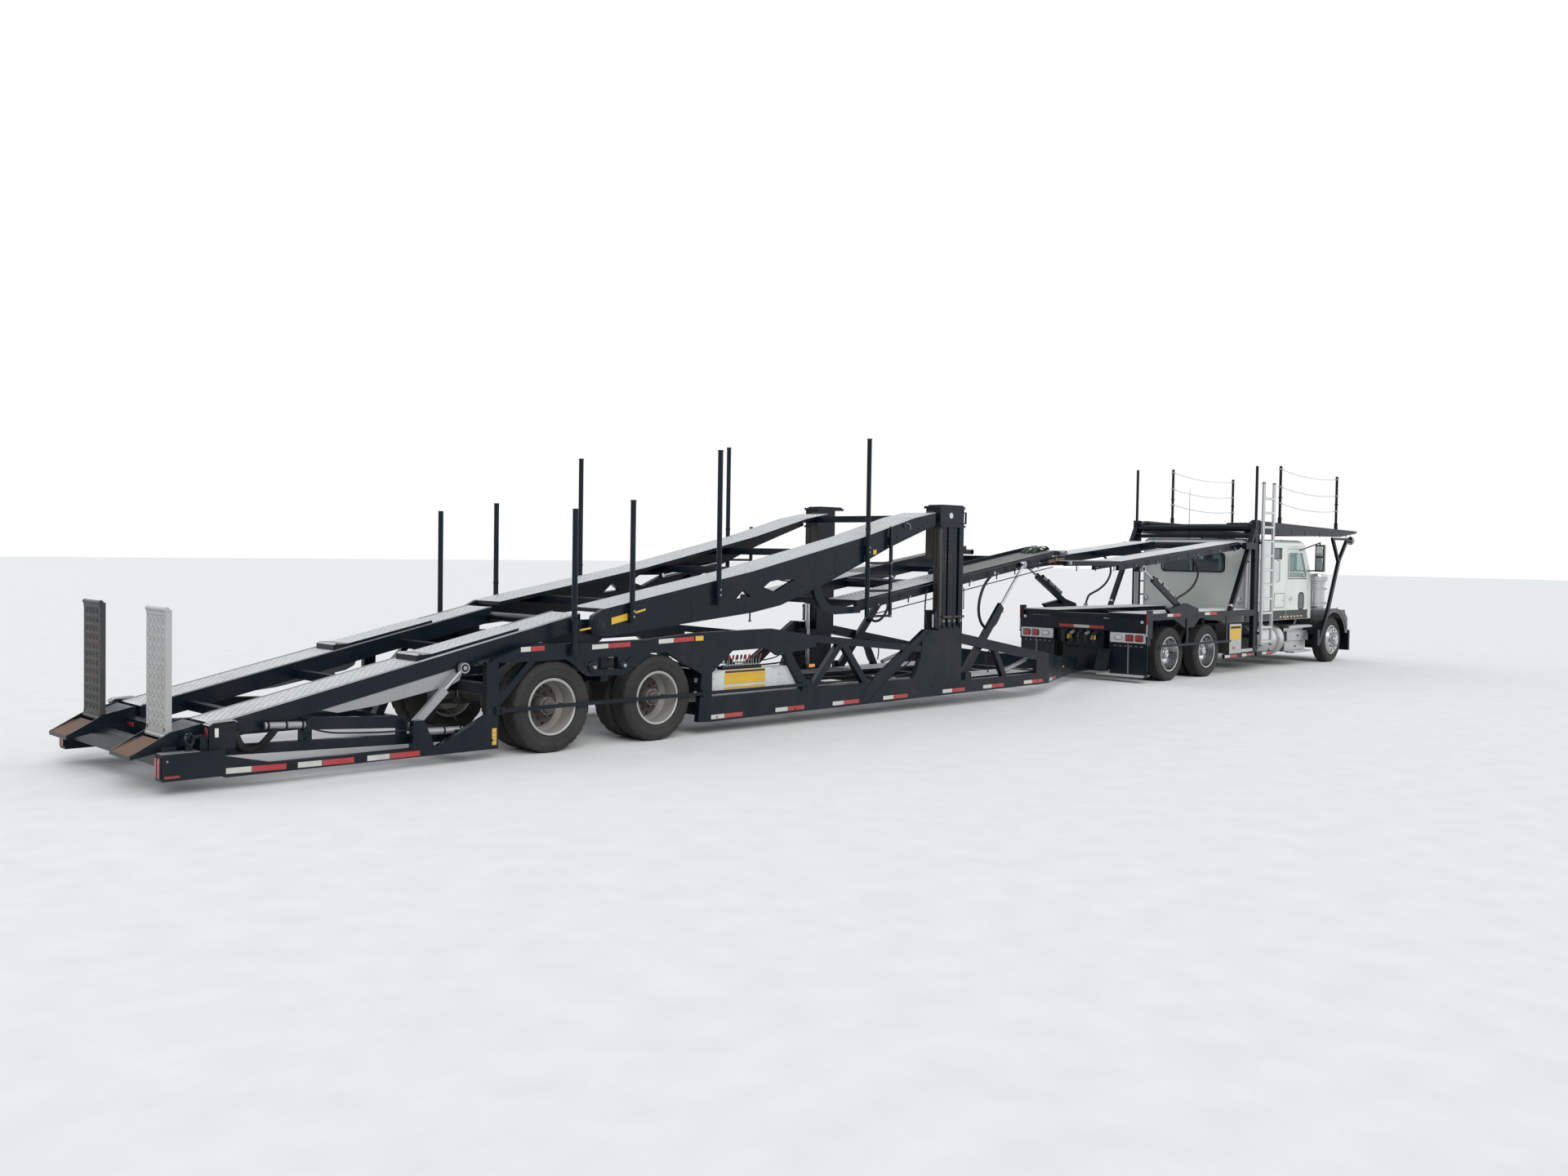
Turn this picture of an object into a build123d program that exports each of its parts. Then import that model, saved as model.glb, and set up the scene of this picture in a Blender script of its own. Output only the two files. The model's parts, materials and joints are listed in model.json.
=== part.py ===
from build123d import *
import math
import os

os.makedirs("parts", exist_ok=True)

# Main stations, from the middle of the outfit at ground level, X forward
ax = -8315
hitch_x = ax + 11750
drive_x = ax + 12860
steer_x = ax + 19660
front_x = ax + 20750
toe_x = ax - 4120
half_width = 1290
trailer_axle_gap = 1420
drive_axle_gap = 1320

# Wheels
trailer_tyre_r = 480
trailer_tyre_w = 268
drive_tyre_r = 464
drive_tyre_w = 248
steer_tyre_w = 250
bead_r = 286
flange_r = 298.5
rim_half = 112
rim_wall = 11
dual_gap = 316
trailer_dual_y = half_width - 298
drive_dual_y = half_width - 334
steer_y = half_width - 240
kingpin_y = steer_y - 145
kingpin_r = 20
kingpin_play = 0.6
hub_r = 92
spindle_r = 48
running = 0.05
hand_holes = 10
hand_hole_r = 26
hand_hole_ring = 208

# Side layers from the outside inwards: frame plates, lift arms, runways
side_t = 75
arm_gap = 19
arm_w = 58
run_gap = 28
run_w = 510
side_in = half_width - side_t
side_out = half_width - 5
arm_out = side_in - arm_gap
arm_in = arm_out - arm_w
arm_y = (arm_in + arm_out) / 2
run_out = arm_in - run_gap
run_in = run_out - run_w
beam_w = 60
post_r = 30
post_y = half_width + 42

# Rear of the trailer
ramp_len = 1090
ramp_t = 46
ramp_in = run_in - 20
ramp_w = 440
ramp_out = ramp_in + ramp_w
ramp_x = ax - 3815
ramp_z = 470
tail_rear = ax - 3450
tail_rear_z = 560
tail_front = ax + 460
tail_front_z = 1435
run_t = 42
beam_d = 130

# Trailer decks
main_pivot = (ax + 570, 1300)
front_pivot = (ax + 6600, 1690)
tail_pivot = (ax + 430, 1335)
tower_x0 = ax + 6400
tower_x1 = ax + 6930
tower_z0 = 1000
tower_z1 = 2790

# Truck
truck_deck_z = 1170
truck_rear = ax + 12010
rack_pivot = (ax + 15930, 2700)
bonnet_pivot = (ax + 20380, 600)
truck_deck_pivot = (ax + 15560, 2360)
cab_gap = 110
cab_half = side_in - 15 - cab_gap
sleeper_rear = ax + 15900
cab_front = ax + 18780
door_rear = ax + 17660
door_front = ax + 18640
cab_floor = 930
hinge_r = 14
cab_roof = 2500
wall = 45
tank_y = cab_half - 210
step_out = cab_half + 90
cleaner_y = cab_half + 35

# Lift struts: foot pins and deck pins
front_foot = (ax + 7100, 400)
front_eye = (ax + 8560, 1990)
truck_foot = (ax + 13250, 1270)
truck_eye = (ax + 12000, 1930)
tail_foot = (ax - 1560, 400)
tail_eye = (ax - 1000, 930)
pin_r = 24

# Wings over the steered wheels, and the bumper
arch_r = 570
wing_r = 652
wing_foot = 590
bumper_z0 = 220
bumper_z1 = 640

# Cable posts of the head rack: station, foot height and top height
rack_posts = ((17150, 2700, 3930), (19780, 2650, 3850))
cable_drops = (60, 400, 720)
cable_sag = 70
cable_r = 6


def block(x0, x1, y0, y1, z0, z1, mode=Mode.ADD):
    with Locations(((x0 + x1) / 2, (y0 + y1) / 2, (z0 + z1) / 2)):
        Box(x1 - x0, y1 - y0, z1 - z0, mode=mode)


def plate(points, y0, y1, holes=(), mode=Mode.ADD):
    with BuildSketch(Plane.XZ.offset(-y0)) as outline:
        Polygon(*points, align=None)
        for ring in holes:
            Polygon(*ring, align=None, mode=Mode.SUBTRACT)
    extrude(outline.sketch, amount=y1 - y0, dir=(0, 1, 0), mode=mode)


def tube(p0, p1, r, bore=0, mode=Mode.ADD):
    a = Vector(*p0)
    b = Vector(*p1)
    with BuildSketch(Plane(origin=a, z_dir=b - a)) as ring:
        Circle(r)
        if bore:
            Circle(bore, mode=Mode.SUBTRACT)
    extrude(ring.sketch, amount=(b - a).length, dir=b - a, mode=mode)


def sloped(x0, z0, x1, z1, depth, y0, y1, mode=Mode.ADD):
    plate([(x0, z0), (x1, z1), (x1, z1 - depth), (x0, z0 - depth)], y0, y1, mode=mode)


def bar(x0, z0, x1, z1, d, y0, y1):
    run = math.hypot(x1 - x0, z1 - z0)
    nx = -(z1 - z0) / run * d / 2
    nz = (x1 - x0) / run * d / 2
    plate([(x0 + nx, z0 + nz), (x1 + nx, z1 + nz), (x1 - nx, z1 - nz), (x0 - nx, z0 - nz)], y0, y1)


def sides(side, y0, y1):
    return (y0, y1) if side > 0 else (-y1, -y0)


# Take room for pieces that already stand in the same body
def make_room(*others):
    for other in others:
        add(other.part, mode=Mode.SUBTRACT)


def save(build, name):
    build.part.label = name
    export_step(build.part, f"parts/{name}.step")


# Tyres
def tyre(cx, cy, r, w):
    with BuildSketch(Plane(origin=(cx, cy, r), x_dir=(1, 0, 0), z_dir=(0, 0, 1))) as half:
        with BuildLine():
            Polyline((bead_r + 0.5, -rim_half + 14), (bead_r + 0.5, rim_half - 14), (flange_r + 6, rim_half - 12))
            ThreePointArc((flange_r + 6, rim_half - 12), ((r + bead_r) / 2, w / 2), (r - 26, w / 2 - 10))
            Polyline((r - 26, w / 2 - 10), (r, w / 2 - 34), (r, -w / 2 + 34), (r - 26, -w / 2 + 10))
            ThreePointArc((r - 26, -w / 2 + 10), ((r + bead_r) / 2, -w / 2), (flange_r + 6, -rim_half + 12))
            Line((flange_r + 6, -rim_half + 12), (bead_r + 0.5, -rim_half + 14))
        make_face()
    revolve(half.sketch, axis=Axis((cx, cy, r), (0, 1, 0)))


# One rim: barrel, two flanges and a dished disc whose mounting face lies at off from its middle
def rim(cx, cy, r, off):
    s = 1 if off > 0 else -1
    with BuildSketch(Plane(origin=(cx, cy, r), x_dir=(1, 0, 0), z_dir=(0, 0, 1))) as half:
        Polygon(
            (bead_r, -rim_half + 12), (flange_r, -rim_half + 12), (flange_r, -rim_half), (bead_r - rim_wall, -rim_half),
            (bead_r - rim_wall, rim_half), (flange_r, rim_half), (flange_r, rim_half - 12), (bead_r, rim_half - 12),
            align=None,
        )
        Polygon(
            (bead_r - 4, s * 70), (bead_r - 4, s * 94), (248, off), (hub_r - 8, off), (hub_r - 8, off - s * 13), (240, off - s * 13),
            align=None,
        )
    revolve(half.sketch, axis=Axis((cx, cy, r), (0, 1, 0)))
    with BuildSketch(Plane(origin=(cx, cy + off + s * 20, r), x_dir=(1, 0, 0), z_dir=(0, -s, 0))) as holes:
        with PolarLocations(hand_hole_ring, hand_holes):
            Circle(hand_hole_r)
    extrude(holes.sketch, amount=80, dir=(0, -s, 0), mode=Mode.SUBTRACT)


def dual_wheel(name, cx, side, mid_y, r, w):
    with BuildPart() as tyres:
        tyre(cx, side * (mid_y + dual_gap / 2), r, w)
        tyre(cx, side * (mid_y - dual_gap / 2), r, w)
    save(tyres, f"{name}_tyres")
    with BuildPart() as rims:
        rim(cx, side * (mid_y + dual_gap / 2), r, -side * dual_gap / 2)
        rim(cx, side * (mid_y - dual_gap / 2), r, side * dual_gap / 2)
        tube((cx, side * (mid_y - 150), r), (cx, side * (mid_y + 190), r), hub_r)
        tube((cx, side * (mid_y + 190), r), (cx, side * (mid_y + 215), r), hub_r - 22)
        tube((cx, side * (mid_y - 250), r), (cx, side * (mid_y - 20), r), 205)
        tube((cx, side * (mid_y - 260), r), (cx, side * (mid_y + 120), r), spindle_r + running, mode=Mode.SUBTRACT)
    save(rims, f"{name}_rims")


for number, station in (("rear", ax), ("front", ax + trailer_axle_gap)):
    for tag, side in (("left", 1), ("right", -1)):
        dual_wheel(f"trailer_{number}_{tag}", station, side, trailer_dual_y, trailer_tyre_r, trailer_tyre_w)
for number, station in (("rear", drive_x), ("front", drive_x + drive_axle_gap)):
    for tag, side in (("left", 1), ("right", -1)):
        dual_wheel(f"drive_{number}_{tag}", station, side, drive_dual_y, drive_tyre_r, drive_tyre_w)

for tag, side in (("left", 1), ("right", -1)):
    with BuildPart() as tyres:
        tyre(steer_x, side * steer_y, drive_tyre_r, steer_tyre_w)
    save(tyres, f"steer_{tag}_tyre")
    with BuildPart() as rims:
        rim(steer_x, side * steer_y, drive_tyre_r, side * dual_gap / 2)
        tube((steer_x, side * (steer_y + 30), drive_tyre_r), (steer_x, side * (steer_y + 205), drive_tyre_r), hub_r)
        tube((steer_x, side * (steer_y + 20), drive_tyre_r), (steer_x, side * (steer_y + 165), drive_tyre_r), spindle_r + running, mode=Mode.SUBTRACT)
    save(rims, f"steer_{tag}_rim")
    # Steering knuckle: upright, spindle and brake plate
    with BuildPart() as knuckle:
        tube((steer_x, side * kingpin_y, drive_tyre_r - 95), (steer_x, side * kingpin_y, drive_tyre_r + 95), 44)
        tube((steer_x, side * kingpin_y, drive_tyre_r), (steer_x, side * (steer_y + 155), drive_tyre_r), spindle_r)
        tube((steer_x, side * (kingpin_y + 60), drive_tyre_r), (steer_x, side * (kingpin_y + 80), drive_tyre_r), 190)
        tube((steer_x, side * kingpin_y, drive_tyre_r - 200), (steer_x, side * kingpin_y, drive_tyre_r + 200), kingpin_r + kingpin_play, mode=Mode.SUBTRACT)
    save(knuckle, f"knuckle_{tag}")

# Trailer side frames: one profile cut from plate on each side
wheel_plate = [
    (-770, 975), (-210, 968), (150, 972), (470, 775), (920, 765), (1060, 835), (1300, 985), (1530, 985), (2060, 710), (2010, 160),
    (2220, 150), (2220, 720), (2540, 960), (3140, 970), (3300, 870), (3960, 950), (3960, 1090),
    (3200, 1200), (2000, 1190), (1250, 1140), (-340, 1130), (-720, 1010),
]
tower_plate = [(5700, 185), (6930, 190), (6930, 1010), (6260, 1090), (6060, 950), (6020, 700), (5900, 480)]


def at(points, shift=0):
    return [(ax + x + shift, z) for x, z in points]


with BuildPart() as side_frames:
    for side in (1, -1):
        y0, y1 = sides(side, side_in, side_out)
        plate(at(wheel_plate), y0, y1, holes=[at([(580, 970), (580, 840), (840, 840), (840, 970)])])
        # Rear post, its brace and the gusset at its foot
        plate(at([(-810, 110), (-670, 110), (-670, 985), (-810, 985)]), y0, y1)
        plate(at([(-690, 500), (-690, 600), (-310, 975), (-225, 975)]), y0, y1)
        plate(at([(-1520, 115), (-670, 110), (-670, 475), (-760, 475)]), y0, y1)
        # Thin rail running back to the lamp box
        plate(at([(-3420, 115), (-800, 110), (-800, 195), (-3000, 205), (-3420, 300)]), y0, y1)
        # Bottom rail under the lower deck
        plate(at([(2200, 150), (9000, 190), (9000, 360), (6900, 360), (6900, 450), (2200, 440)]), y0, y1)
        # Top rail, lattice legs and the plate under the tower
        sloped(ax + 3900, 1100, ax + 6100, 880, 90, y0, y1)
        bar(ax + 3320, 1090, ax + 3800, 420, 110, y0, y1)
        bar(ax + 4450, 1000, ax + 3900, 420, 90, y0, y1)
        bar(ax + 4450, 1000, ax + 4930, 420, 90, y0, y1)
        plate(at([(4800, 180), (4960, 180), (6240, 1090), (6120, 1100), (4780, 290)]), y0, y1)
        plate(at(tower_plate), y0, y1)
        # Sloping rail forward of the tower, with its prop and end plate
        sloped(ax + 6900, 1020, ax + 9000, 660, 135, y0, y1)
        bar(ax + 7700, 820, ax + 7980, 350, 90, y0, y1)
        plate(at([(8780, 185), (9000, 190), (9000, 660), (8780, 690)]), y0, y1)
        # Foot brackets of the front deck's lift, and the pivot brackets over the wheels
        plate([(front_foot[0] - 80, 340), (front_foot[0] + 80, 340), (front_foot[0] + 60, front_foot[1] + 60), (front_foot[0] - 60, front_foot[1] + 60)], y0, y1)
        tube((front_foot[0], side * arm_in, front_foot[1]), (front_foot[0], side * (side_in + 10), front_foot[1]), pin_r)
        tube((tail_foot[0], side * arm_in, tail_foot[1]), (tail_foot[0], side * (side_in + 10), tail_foot[1]), pin_r)
        plate([(tail_foot[0] - 70, 130), (tail_foot[0] + 200, 130), (tail_foot[0] + 60, tail_foot[1] + 60), (tail_foot[0] - 60, tail_foot[1] + 60)], y0, y1)
        b0, b1 = sides(side, arm_in, arm_out)
        b2, b3 = sides(side, arm_in, side_in + 5)
        block(main_pivot[0] - 210, main_pivot[0] + 70, b0, b1, 985, main_pivot[1] + 75)
        block(main_pivot[0] - 210, main_pivot[0] + 70, b2, b3, 985, 1100)
        tube((main_pivot[0], b0, main_pivot[1]), (main_pivot[0], b0 + (b1 - b0), main_pivot[1]), pin_r)
        tube((main_pivot[0], side * arm_out, main_pivot[1]), (main_pivot[0], side * (side_out), main_pivot[1]), pin_r)
        # Fold-in guard bar past the wheels
        g0, g1 = sides(side, half_width + 5, half_width + 21)
        block(ax - 640, ax + 3840, g0, g1, 470, 510)
        g2, g3 = sides(side, half_width - 8, half_width + 10)
        for x0, x1, z0, z1 in ((-720, -600, 455, 525), (2060, 2160, 455, 525), (3700, 3820, 410, 525)):
            block(ax + x0, ax + x1, g2, g3, z0, z1)
        # Rear marker post
        tube((ax + 220, side * post_y, 1010), (ax + 220, side * post_y, 2550), post_r)
        block(ax + 180, ax + 260, *sides(side, half_width - 8, post_y), 1010, 1110)
    tube((tail_pivot[0], -arm_in - 5, tail_pivot[1]), (tail_pivot[0], arm_in + 5, tail_pivot[1]), pin_r)
save(side_frames, "side_frames")

# Trailer floor, rear sill with toe plates and lamp boxes, and the lower deck's runways
with BuildPart() as floor:
    for x in (2120, 3000, 4200, 5400, 6600, 7600, 8850):
        block(ax + x - 60, ax + x + 60, -side_in, side_in, 230, 330)
    for side in (1, -1):
        y0, y1 = sides(side, run_in, run_out)
        block(ax + 2060, ax + 8910, y0, y1, 330, 330 + run_t)
        y2, y3 = sides(side, 430, 540)
        block(ax - 900, ax + 2600, y2, y3, 640, 780)
        block(ax + 2480, ax + 2600, y2, y3, 330, 640)
        for x in (400, 400 + trailer_axle_gap):
            block(ax + x, ax + x + 100, y2, y3, trailer_tyre_r - 120, 650)
        # Sill at the very rear with the toe and hinge plates
        t0, t1 = sides(side, ramp_in - 10, ramp_out + 10)
        plate([(toe_x, 330), (toe_x, 300), (ax - 3900, 370), (ax - 3830, 380), (ax - 3850, 440)], t0, t1)
        for edge in (ramp_in - 20, ramp_out + 8):
            l0, l1 = sides(side, edge, edge + 12)
            plate([(toe_x, 300), (ax - 3510, 420), (ax - 3510, 570), (ax - 3790, 510), (toe_x, 335)], l0, l1)
        plate([(ax - 3745, 460), (ax - 3510, 520), (ax - 3510, 560), (ax - 3745, 490)], t0, t1)
        for k in range(7):
            y = ramp_in + 62 + k * 53
            block(ax - 3690, ax - 3560, *sides(side, y - 12, y + 12), 440, 600, mode=Mode.SUBTRACT)
        tube((ramp_x, side * (ramp_in - 15), ramp_z), (ramp_x, side * (ramp_out + 15), ramp_z), 12)
        n0, n1 = sides(side, 440, 540)
        block(ax - 3900, ax - 3480, n0, n1, 230, 420)
        b0, b1 = sides(side, arm_in + 2, side_out)
        block(ax - 3950, ax - 3420, b0, b1, 130, 360)
        b2, b3 = sides(side, arm_in - 18, side_in + 5)
        block(ax - 3530, ax - 3300, b2, b3, 355, 580)
        bar(ax - 3500, 330, ax - 1060, 250, 90, *sides(side, run_out - 60, arm_in - 13))
        # Upper arm beam with its end plate, and the level cylinder ahead of it
        bar(ax - 2610, 500, ax - 1600, 435, 112, *sides(side, run_out - 60, arm_in - 13))
        block(ax - 2660, ax - 2560, *sides(side, run_out - 60, arm_in - 13), 300, 556)
        block(ax - 1680, ax - 1600, *sides(side, run_out - 60, arm_in - 13), 260, 490)
        block(ax - 1500, ax - 1460, *sides(side, arm_in - 20, side_in - 15), 270, 372)
        tube((ax - 1470, side * arm_y, 335), (ax - 1010, side * arm_y, 318), 34)
        tube((ax - 3040, side * arm_y, 520), (ax - 2640, side * arm_y, 500), 30)
        block(ax - 2650, ax - 2600, *sides(side, arm_in - 20, arm_out), 440, 550)
        block(ax - 1120, ax - 1000, *sides(side, run_out - 70, side_in + 2), 160, 330)
    block(ax - 3900, ax - 3780, -arm_in - 7, arm_in + 7, 230, 400)
    block(ax - 3600, ax - 3480, 15 - side_in, side_in - 15, 230, 470)
    block(ax - 1120, ax - 1000, 50 - run_out, run_out - 50, 230, 330)
    for x, z0, z1 in ((-740, 660, 760), (710, 700, 1000), (2080, 660, 760)):
        block(ax + x - 50, ax + x + 50, -side_in, side_in, z0, z1)
    for side in (1, -1):
        y0, y1 = sides(side, 430, 540)
        bar(ax - 1060, 280, ax - 860, 700, 90, y0, y1)
    make_room(side_frames)
save(floor, "trailer_floor")

# Trailer axles with trailing arms and air springs
with BuildPart() as axles:
    for station in (ax, ax + trailer_axle_gap):
        tube((station, -trailer_dual_y - 110, trailer_tyre_r), (station, trailer_dual_y + 110, trailer_tyre_r), spindle_r)
        tube((station, -660, trailer_tyre_r), (station, 660, trailer_tyre_r), 63)
        for side in (1, -1):
            y0, y1 = sides(side, 440, 530)
            block(station - 330, station + 480, y0, y1, trailer_tyre_r - 105, trailer_tyre_r - 40)
            block(station - 60, station + 60, y0, y1, trailer_tyre_r - 105, trailer_tyre_r)
            tube((station - 230, side * 485, trailer_tyre_r - 45), (station - 230, side * 485, 640), 120)
    make_room(floor)
save(axles, "trailer_axles")

# Trailer nose: plates that close in to the hitch eye
with BuildPart() as nose:
    for side in (1, -1):
        p = [(ax + 8960, side * side_in), (ax + 8960, side * (side_out)), (ax + 9100, side * (side_out)),
             (hitch_x - 330, side * 300), (hitch_x - 330, side * 230), (ax + 9060, side * side_in)]
        with BuildSketch(Plane.XY.offset(190)) as plan:
            Polygon(*p, align=None)
        extrude(plan.sketch, amount=480, dir=(0, 0, 1))
    plate([(ax + 8900, 700), (ax + 9050, 655), (hitch_x - 290, 345), (hitch_x - 290, 900), (ax + 8900, 900)], -1400, 1400, mode=Mode.SUBTRACT)
    block(ax + 9500, ax + 9600, -1000, 1000, 230, 330)
    block(hitch_x - 420, hitch_x - 300, -290, 290, 200, 420)
    block(hitch_x - 310, hitch_x - 60, -110, 110, 200, 300)
    tube((hitch_x, 0, 200), (hitch_x, 0, 300), 150)
    tube((hitch_x, 0, 150), (hitch_x, 0, 500), 60 + running, mode=Mode.SUBTRACT)
    make_room(side_frames, floor)
save(nose, "trailer_nose")

# Towers: channels with holes each side, capped by a head box, with the front deck's pivot shaft
with BuildPart() as towers:
    for side in (1, -1):
        y0, y1 = sides(side, side_in - 40, side_out)
        block(tower_x0, tower_x1, y0, y1, tower_z0, tower_z1)
        # Inner legs above and below the front deck, which passes between them
        i0, i1 = sides(side, side_in - 185, side_in - 30)
        block(tower_x0, tower_x1 - 200, i0, i1, 2050, tower_z1)
        block(tower_x0, tower_x1 - 200, i0, i1, tower_z0 - 30, 1350)
        # Grooves between the lock columns
        c0, c1 = sides(side, half_width - 55, half_width + 5)
        for x, w in ((150, 42), (378, 55)):
            block(tower_x0 + x, tower_x0 + x + w, c0, c1, tower_z0 + 130, tower_z1 - 290, mode=Mode.SUBTRACT)
        # Head plate and the lip under the head box
        h0, h1 = sides(side, side_in - 205, half_width + 4)
        block(tower_x0 - 22, tower_x1 + 12, h0, h1, tower_z1 - 34, tower_z1)
        p0, p1 = sides(side, half_width - 8, half_width + 18)
        block(tower_x0 - 10, tower_x1 + 8, p0, p1, tower_z1 - 290, tower_z1 - 262)
        # Grab handle at the front of the head box
        q0, q1 = sides(side, half_width - 40, half_width - 20)
        for z in (tower_z1 - 240, tower_z1 - 90):
            block(tower_x1 - 2, tower_x1 + 80, q0, q1, z, z + 18)
        block(tower_x1 + 62, tower_x1 + 80, q0, q1, tower_z1 - 240, tower_z1 - 72)
    tube((front_pivot[0], -side_in, front_pivot[1]), (front_pivot[0], side_in, front_pivot[1]), 40)
    make_room(side_frames)
save(towers, "trailer_towers")

# Upper deck of the trailer, hung at its rear pivots and rising to the towers
deck_top = [(640, 1490), (2830, 1890), (4810, 2330), (5850, 2610), (6290, 2690)]
deck_low = [
    (6290, 2520), (5860, 2380), (5350, 2210), (4840, 2010), (4090, 1730), (3320, 1480), (2840, 1400), (710, 1195),
    (500, 1225), (460, 1300), (500, 1420),
]
with BuildPart() as main_deck:
    for side in (1, -1):
        y0, y1 = sides(side, half_width - 65, side_out)
        plate(at(deck_top + deck_low), y0, y1, holes=[
            at([(3020, 1700), (3220, 1640), (3560, 1790), (3160, 1790)]), at([(2560, 1560), (2820, 1590), (2700, 1680)])])
        y2, y3 = sides(side, half_width - 570, half_width - 60)
        for (xa, za), (xb, zb) in zip(deck_top[:-1], deck_top[1:]):
            sloped(ax + xa, za, ax + xb + 1, zb, run_t, y2, y3)
        # Safety posts along the deck on their brackets
        b0, b1 = sides(side, half_width - 8, post_y)
        for x, zb, zt, zk in ((990, 1330, 2670, 1380), (2260, 1500, 3290, 1600), (4850, 1300, 3600, 2120)):
            tube((ax + x, side * post_y, zb), (ax + x, side * post_y, zt), post_r)
            block(ax + x - 30, ax + x + 30, b0, b1, zk, zk + 100)
        # Hung ladder
        p0, p1 = sides(side, post_y - 15, post_y + 15)
        block(ax + 5290, ax + 5330, p0, p1, 1290, 2480)
        block(ax + 5290, ax + 5330, b0, b1, 2240, 2340)
        for z in (1310, 1640, 1830, 2000):
            block(ax + 4850, ax + 5310, p0, p1, z - 14, z + 14)
        # Hooked arm that reaches down beside the front deck's rear end
        a0, a1 = sides(side, arm_in, arm_out)
        with BuildSketch(Plane.XZ.offset(-a0)) as hook:
            with BuildLine():
                Polyline((ax + 4880, 1350), (ax + 4880, 1430), (ax + 4400, 1440))
                ThreePointArc((ax + 4400, 1440), (ax + 4200, 1540), (ax + 4120, 1780))
                Line((ax + 4120, 1780), (ax + 3980, 1780))
                ThreePointArc((ax + 3980, 1780), (ax + 4100, 1470), (ax + 4400, 1340))
                Line((ax + 4400, 1340), (ax + 4880, 1350))
            make_face()
        extrude(hook.sketch, amount=a1 - a0, dir=(0, 1, 0))
        block(ax + 3985, ax + 4115, *sides(side, arm_in, half_width - 60), 1740, 1800)
    for x, z in ((1300, 1470), (3250, 1840), (4400, 2080), (6100, 2560)):
        block(ax + x - 50, ax + x + 50, -half_width + 60, half_width - 60, z, z + 90)
    tube((main_pivot[0], -side_out, main_pivot[1]), (main_pivot[0], half_width + 5, main_pivot[1]), pin_r + running, mode=Mode.SUBTRACT)
save(main_deck, "upper_deck")

# Tail deck
tail_slope = (tail_front_z - tail_rear_z) / (tail_front - tail_rear)
with BuildPart() as tail:
    for side in (1, -1):
        y0, y1 = sides(side, run_in, run_out)
        sloped(tail_rear, tail_rear_z, tail_front, tail_front_z, run_t, y0, y1)
        for edge in (run_out - beam_w, run_in):
            y2, y3 = sides(side, edge, edge + beam_w)
            sloped(tail_rear, tail_rear_z - run_t + 2, tail_front, tail_front_z - run_t + 2, beam_d, y2, y3)
        y6, y7 = sides(side, run_in + beam_w, run_out - beam_w)
        z0 = tail_rear_z + (ax - 1460 - tail_rear) * tail_slope
        z1 = tail_rear_z + (ax - 280 - tail_rear) * tail_slope
        plate([(ax - 1460, z0 - 20), (ax - 280, z1 - 20), (ax - 280, z1 + 30), (ax - 1300, z0 + 70), (ax - 1460, z0 + 60)], y6, y7)
        # Tapered skid plate hung under the outer beam
        s0, s1 = sides(side, run_out - 46, run_out - 10)
        plate(at([(-2480, 614), (-1010, 943), (-965, 900), (-1010, 800), (-1110, 752), (-1900, 610), (-2300, 572)]), s0, s1)
        # Lift lug and its pin
        l0, l1 = sides(side, run_out - 30, run_out)
        plate([(tail_eye[0] - 90, tail_eye[1] + 90), (tail_eye[0] - 50, tail_eye[1] - 50), (tail_eye[0] + 50, tail_eye[1] - 50), (tail_eye[0] + 90, tail_eye[1] + 110)], l0, l1)
        tube((tail_eye[0], side * (run_out - 10), tail_eye[1]), (tail_eye[0], side * arm_out, tail_eye[1]), pin_r)
    for x in (-3000, -1900, -700):
        z = tail_rear_z + (ax + x - tail_rear) * tail_slope
        block(ax + x - 40, ax + x + 40, -run_in - 5, run_in + 5, z - 160, z - 70)
    tube((tail_pivot[0], -run_out, tail_pivot[1]), (tail_pivot[0], run_out, tail_pivot[1]), 52)
    tube((tail_pivot[0], -run_out - 5, tail_pivot[1]), (tail_pivot[0], run_out + 5, tail_pivot[1]), pin_r + running, mode=Mode.SUBTRACT)
save(tail, "tail_deck")

# Front upper deck of the trailer
with BuildPart() as front_deck:
    for side in (1, -1):
        y0, y1 = sides(side, run_in, run_out)
        sloped(ax + 4900, 1510, ax + 9480, 2205, run_t, y0, y1)
        sloped(ax + 9470, 2203, ax + 9650, 2190, 60, y0, y1)
        for edge in (run_out - beam_w, run_in):
            y2, y3 = sides(side, edge, edge + beam_w)
            sloped(ax + 4900, 1470, ax + 9400, 2153, beam_d - 20, y2, y3)
        # Raised inner flange and the rolled end
        sloped(ax + 7000, 1889, ax + 9480, 2265, 100, *sides(side, run_in, run_in + 12))
        tube((ax + 9640, y0, 2168), (ax + 9640, y1, 2168), 42)
        l0, l1 = sides(side, run_out - beam_w, run_out)
        plate([(front_eye[0] - 90, front_eye[1] + 30), (front_eye[0] - 50, front_eye[1] - 50), (front_eye[0] + 50, front_eye[1] - 50), (front_eye[0] + 90, front_eye[1] + 40)], l0, l1)
        tube((front_eye[0], side * (run_out - 10), front_eye[1]), (front_eye[0], side * arm_out, front_eye[1]), pin_r)
    tube((front_pivot[0], -run_out, front_pivot[1]), (front_pivot[0], run_out, front_pivot[1]), 70)
    tube((front_pivot[0], -run_out - 5, front_pivot[1]), (front_pivot[0], run_out + 5, front_pivot[1]), 40 + running, mode=Mode.SUBTRACT)
    for x, z in ((5200, 1430), (8000, 1850), (9200, 2030)):
        block(ax + x - 40, ax + x + 40, -run_in - 5, run_in + 5, z, z + 80)
save(front_deck, "front_deck")

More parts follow.
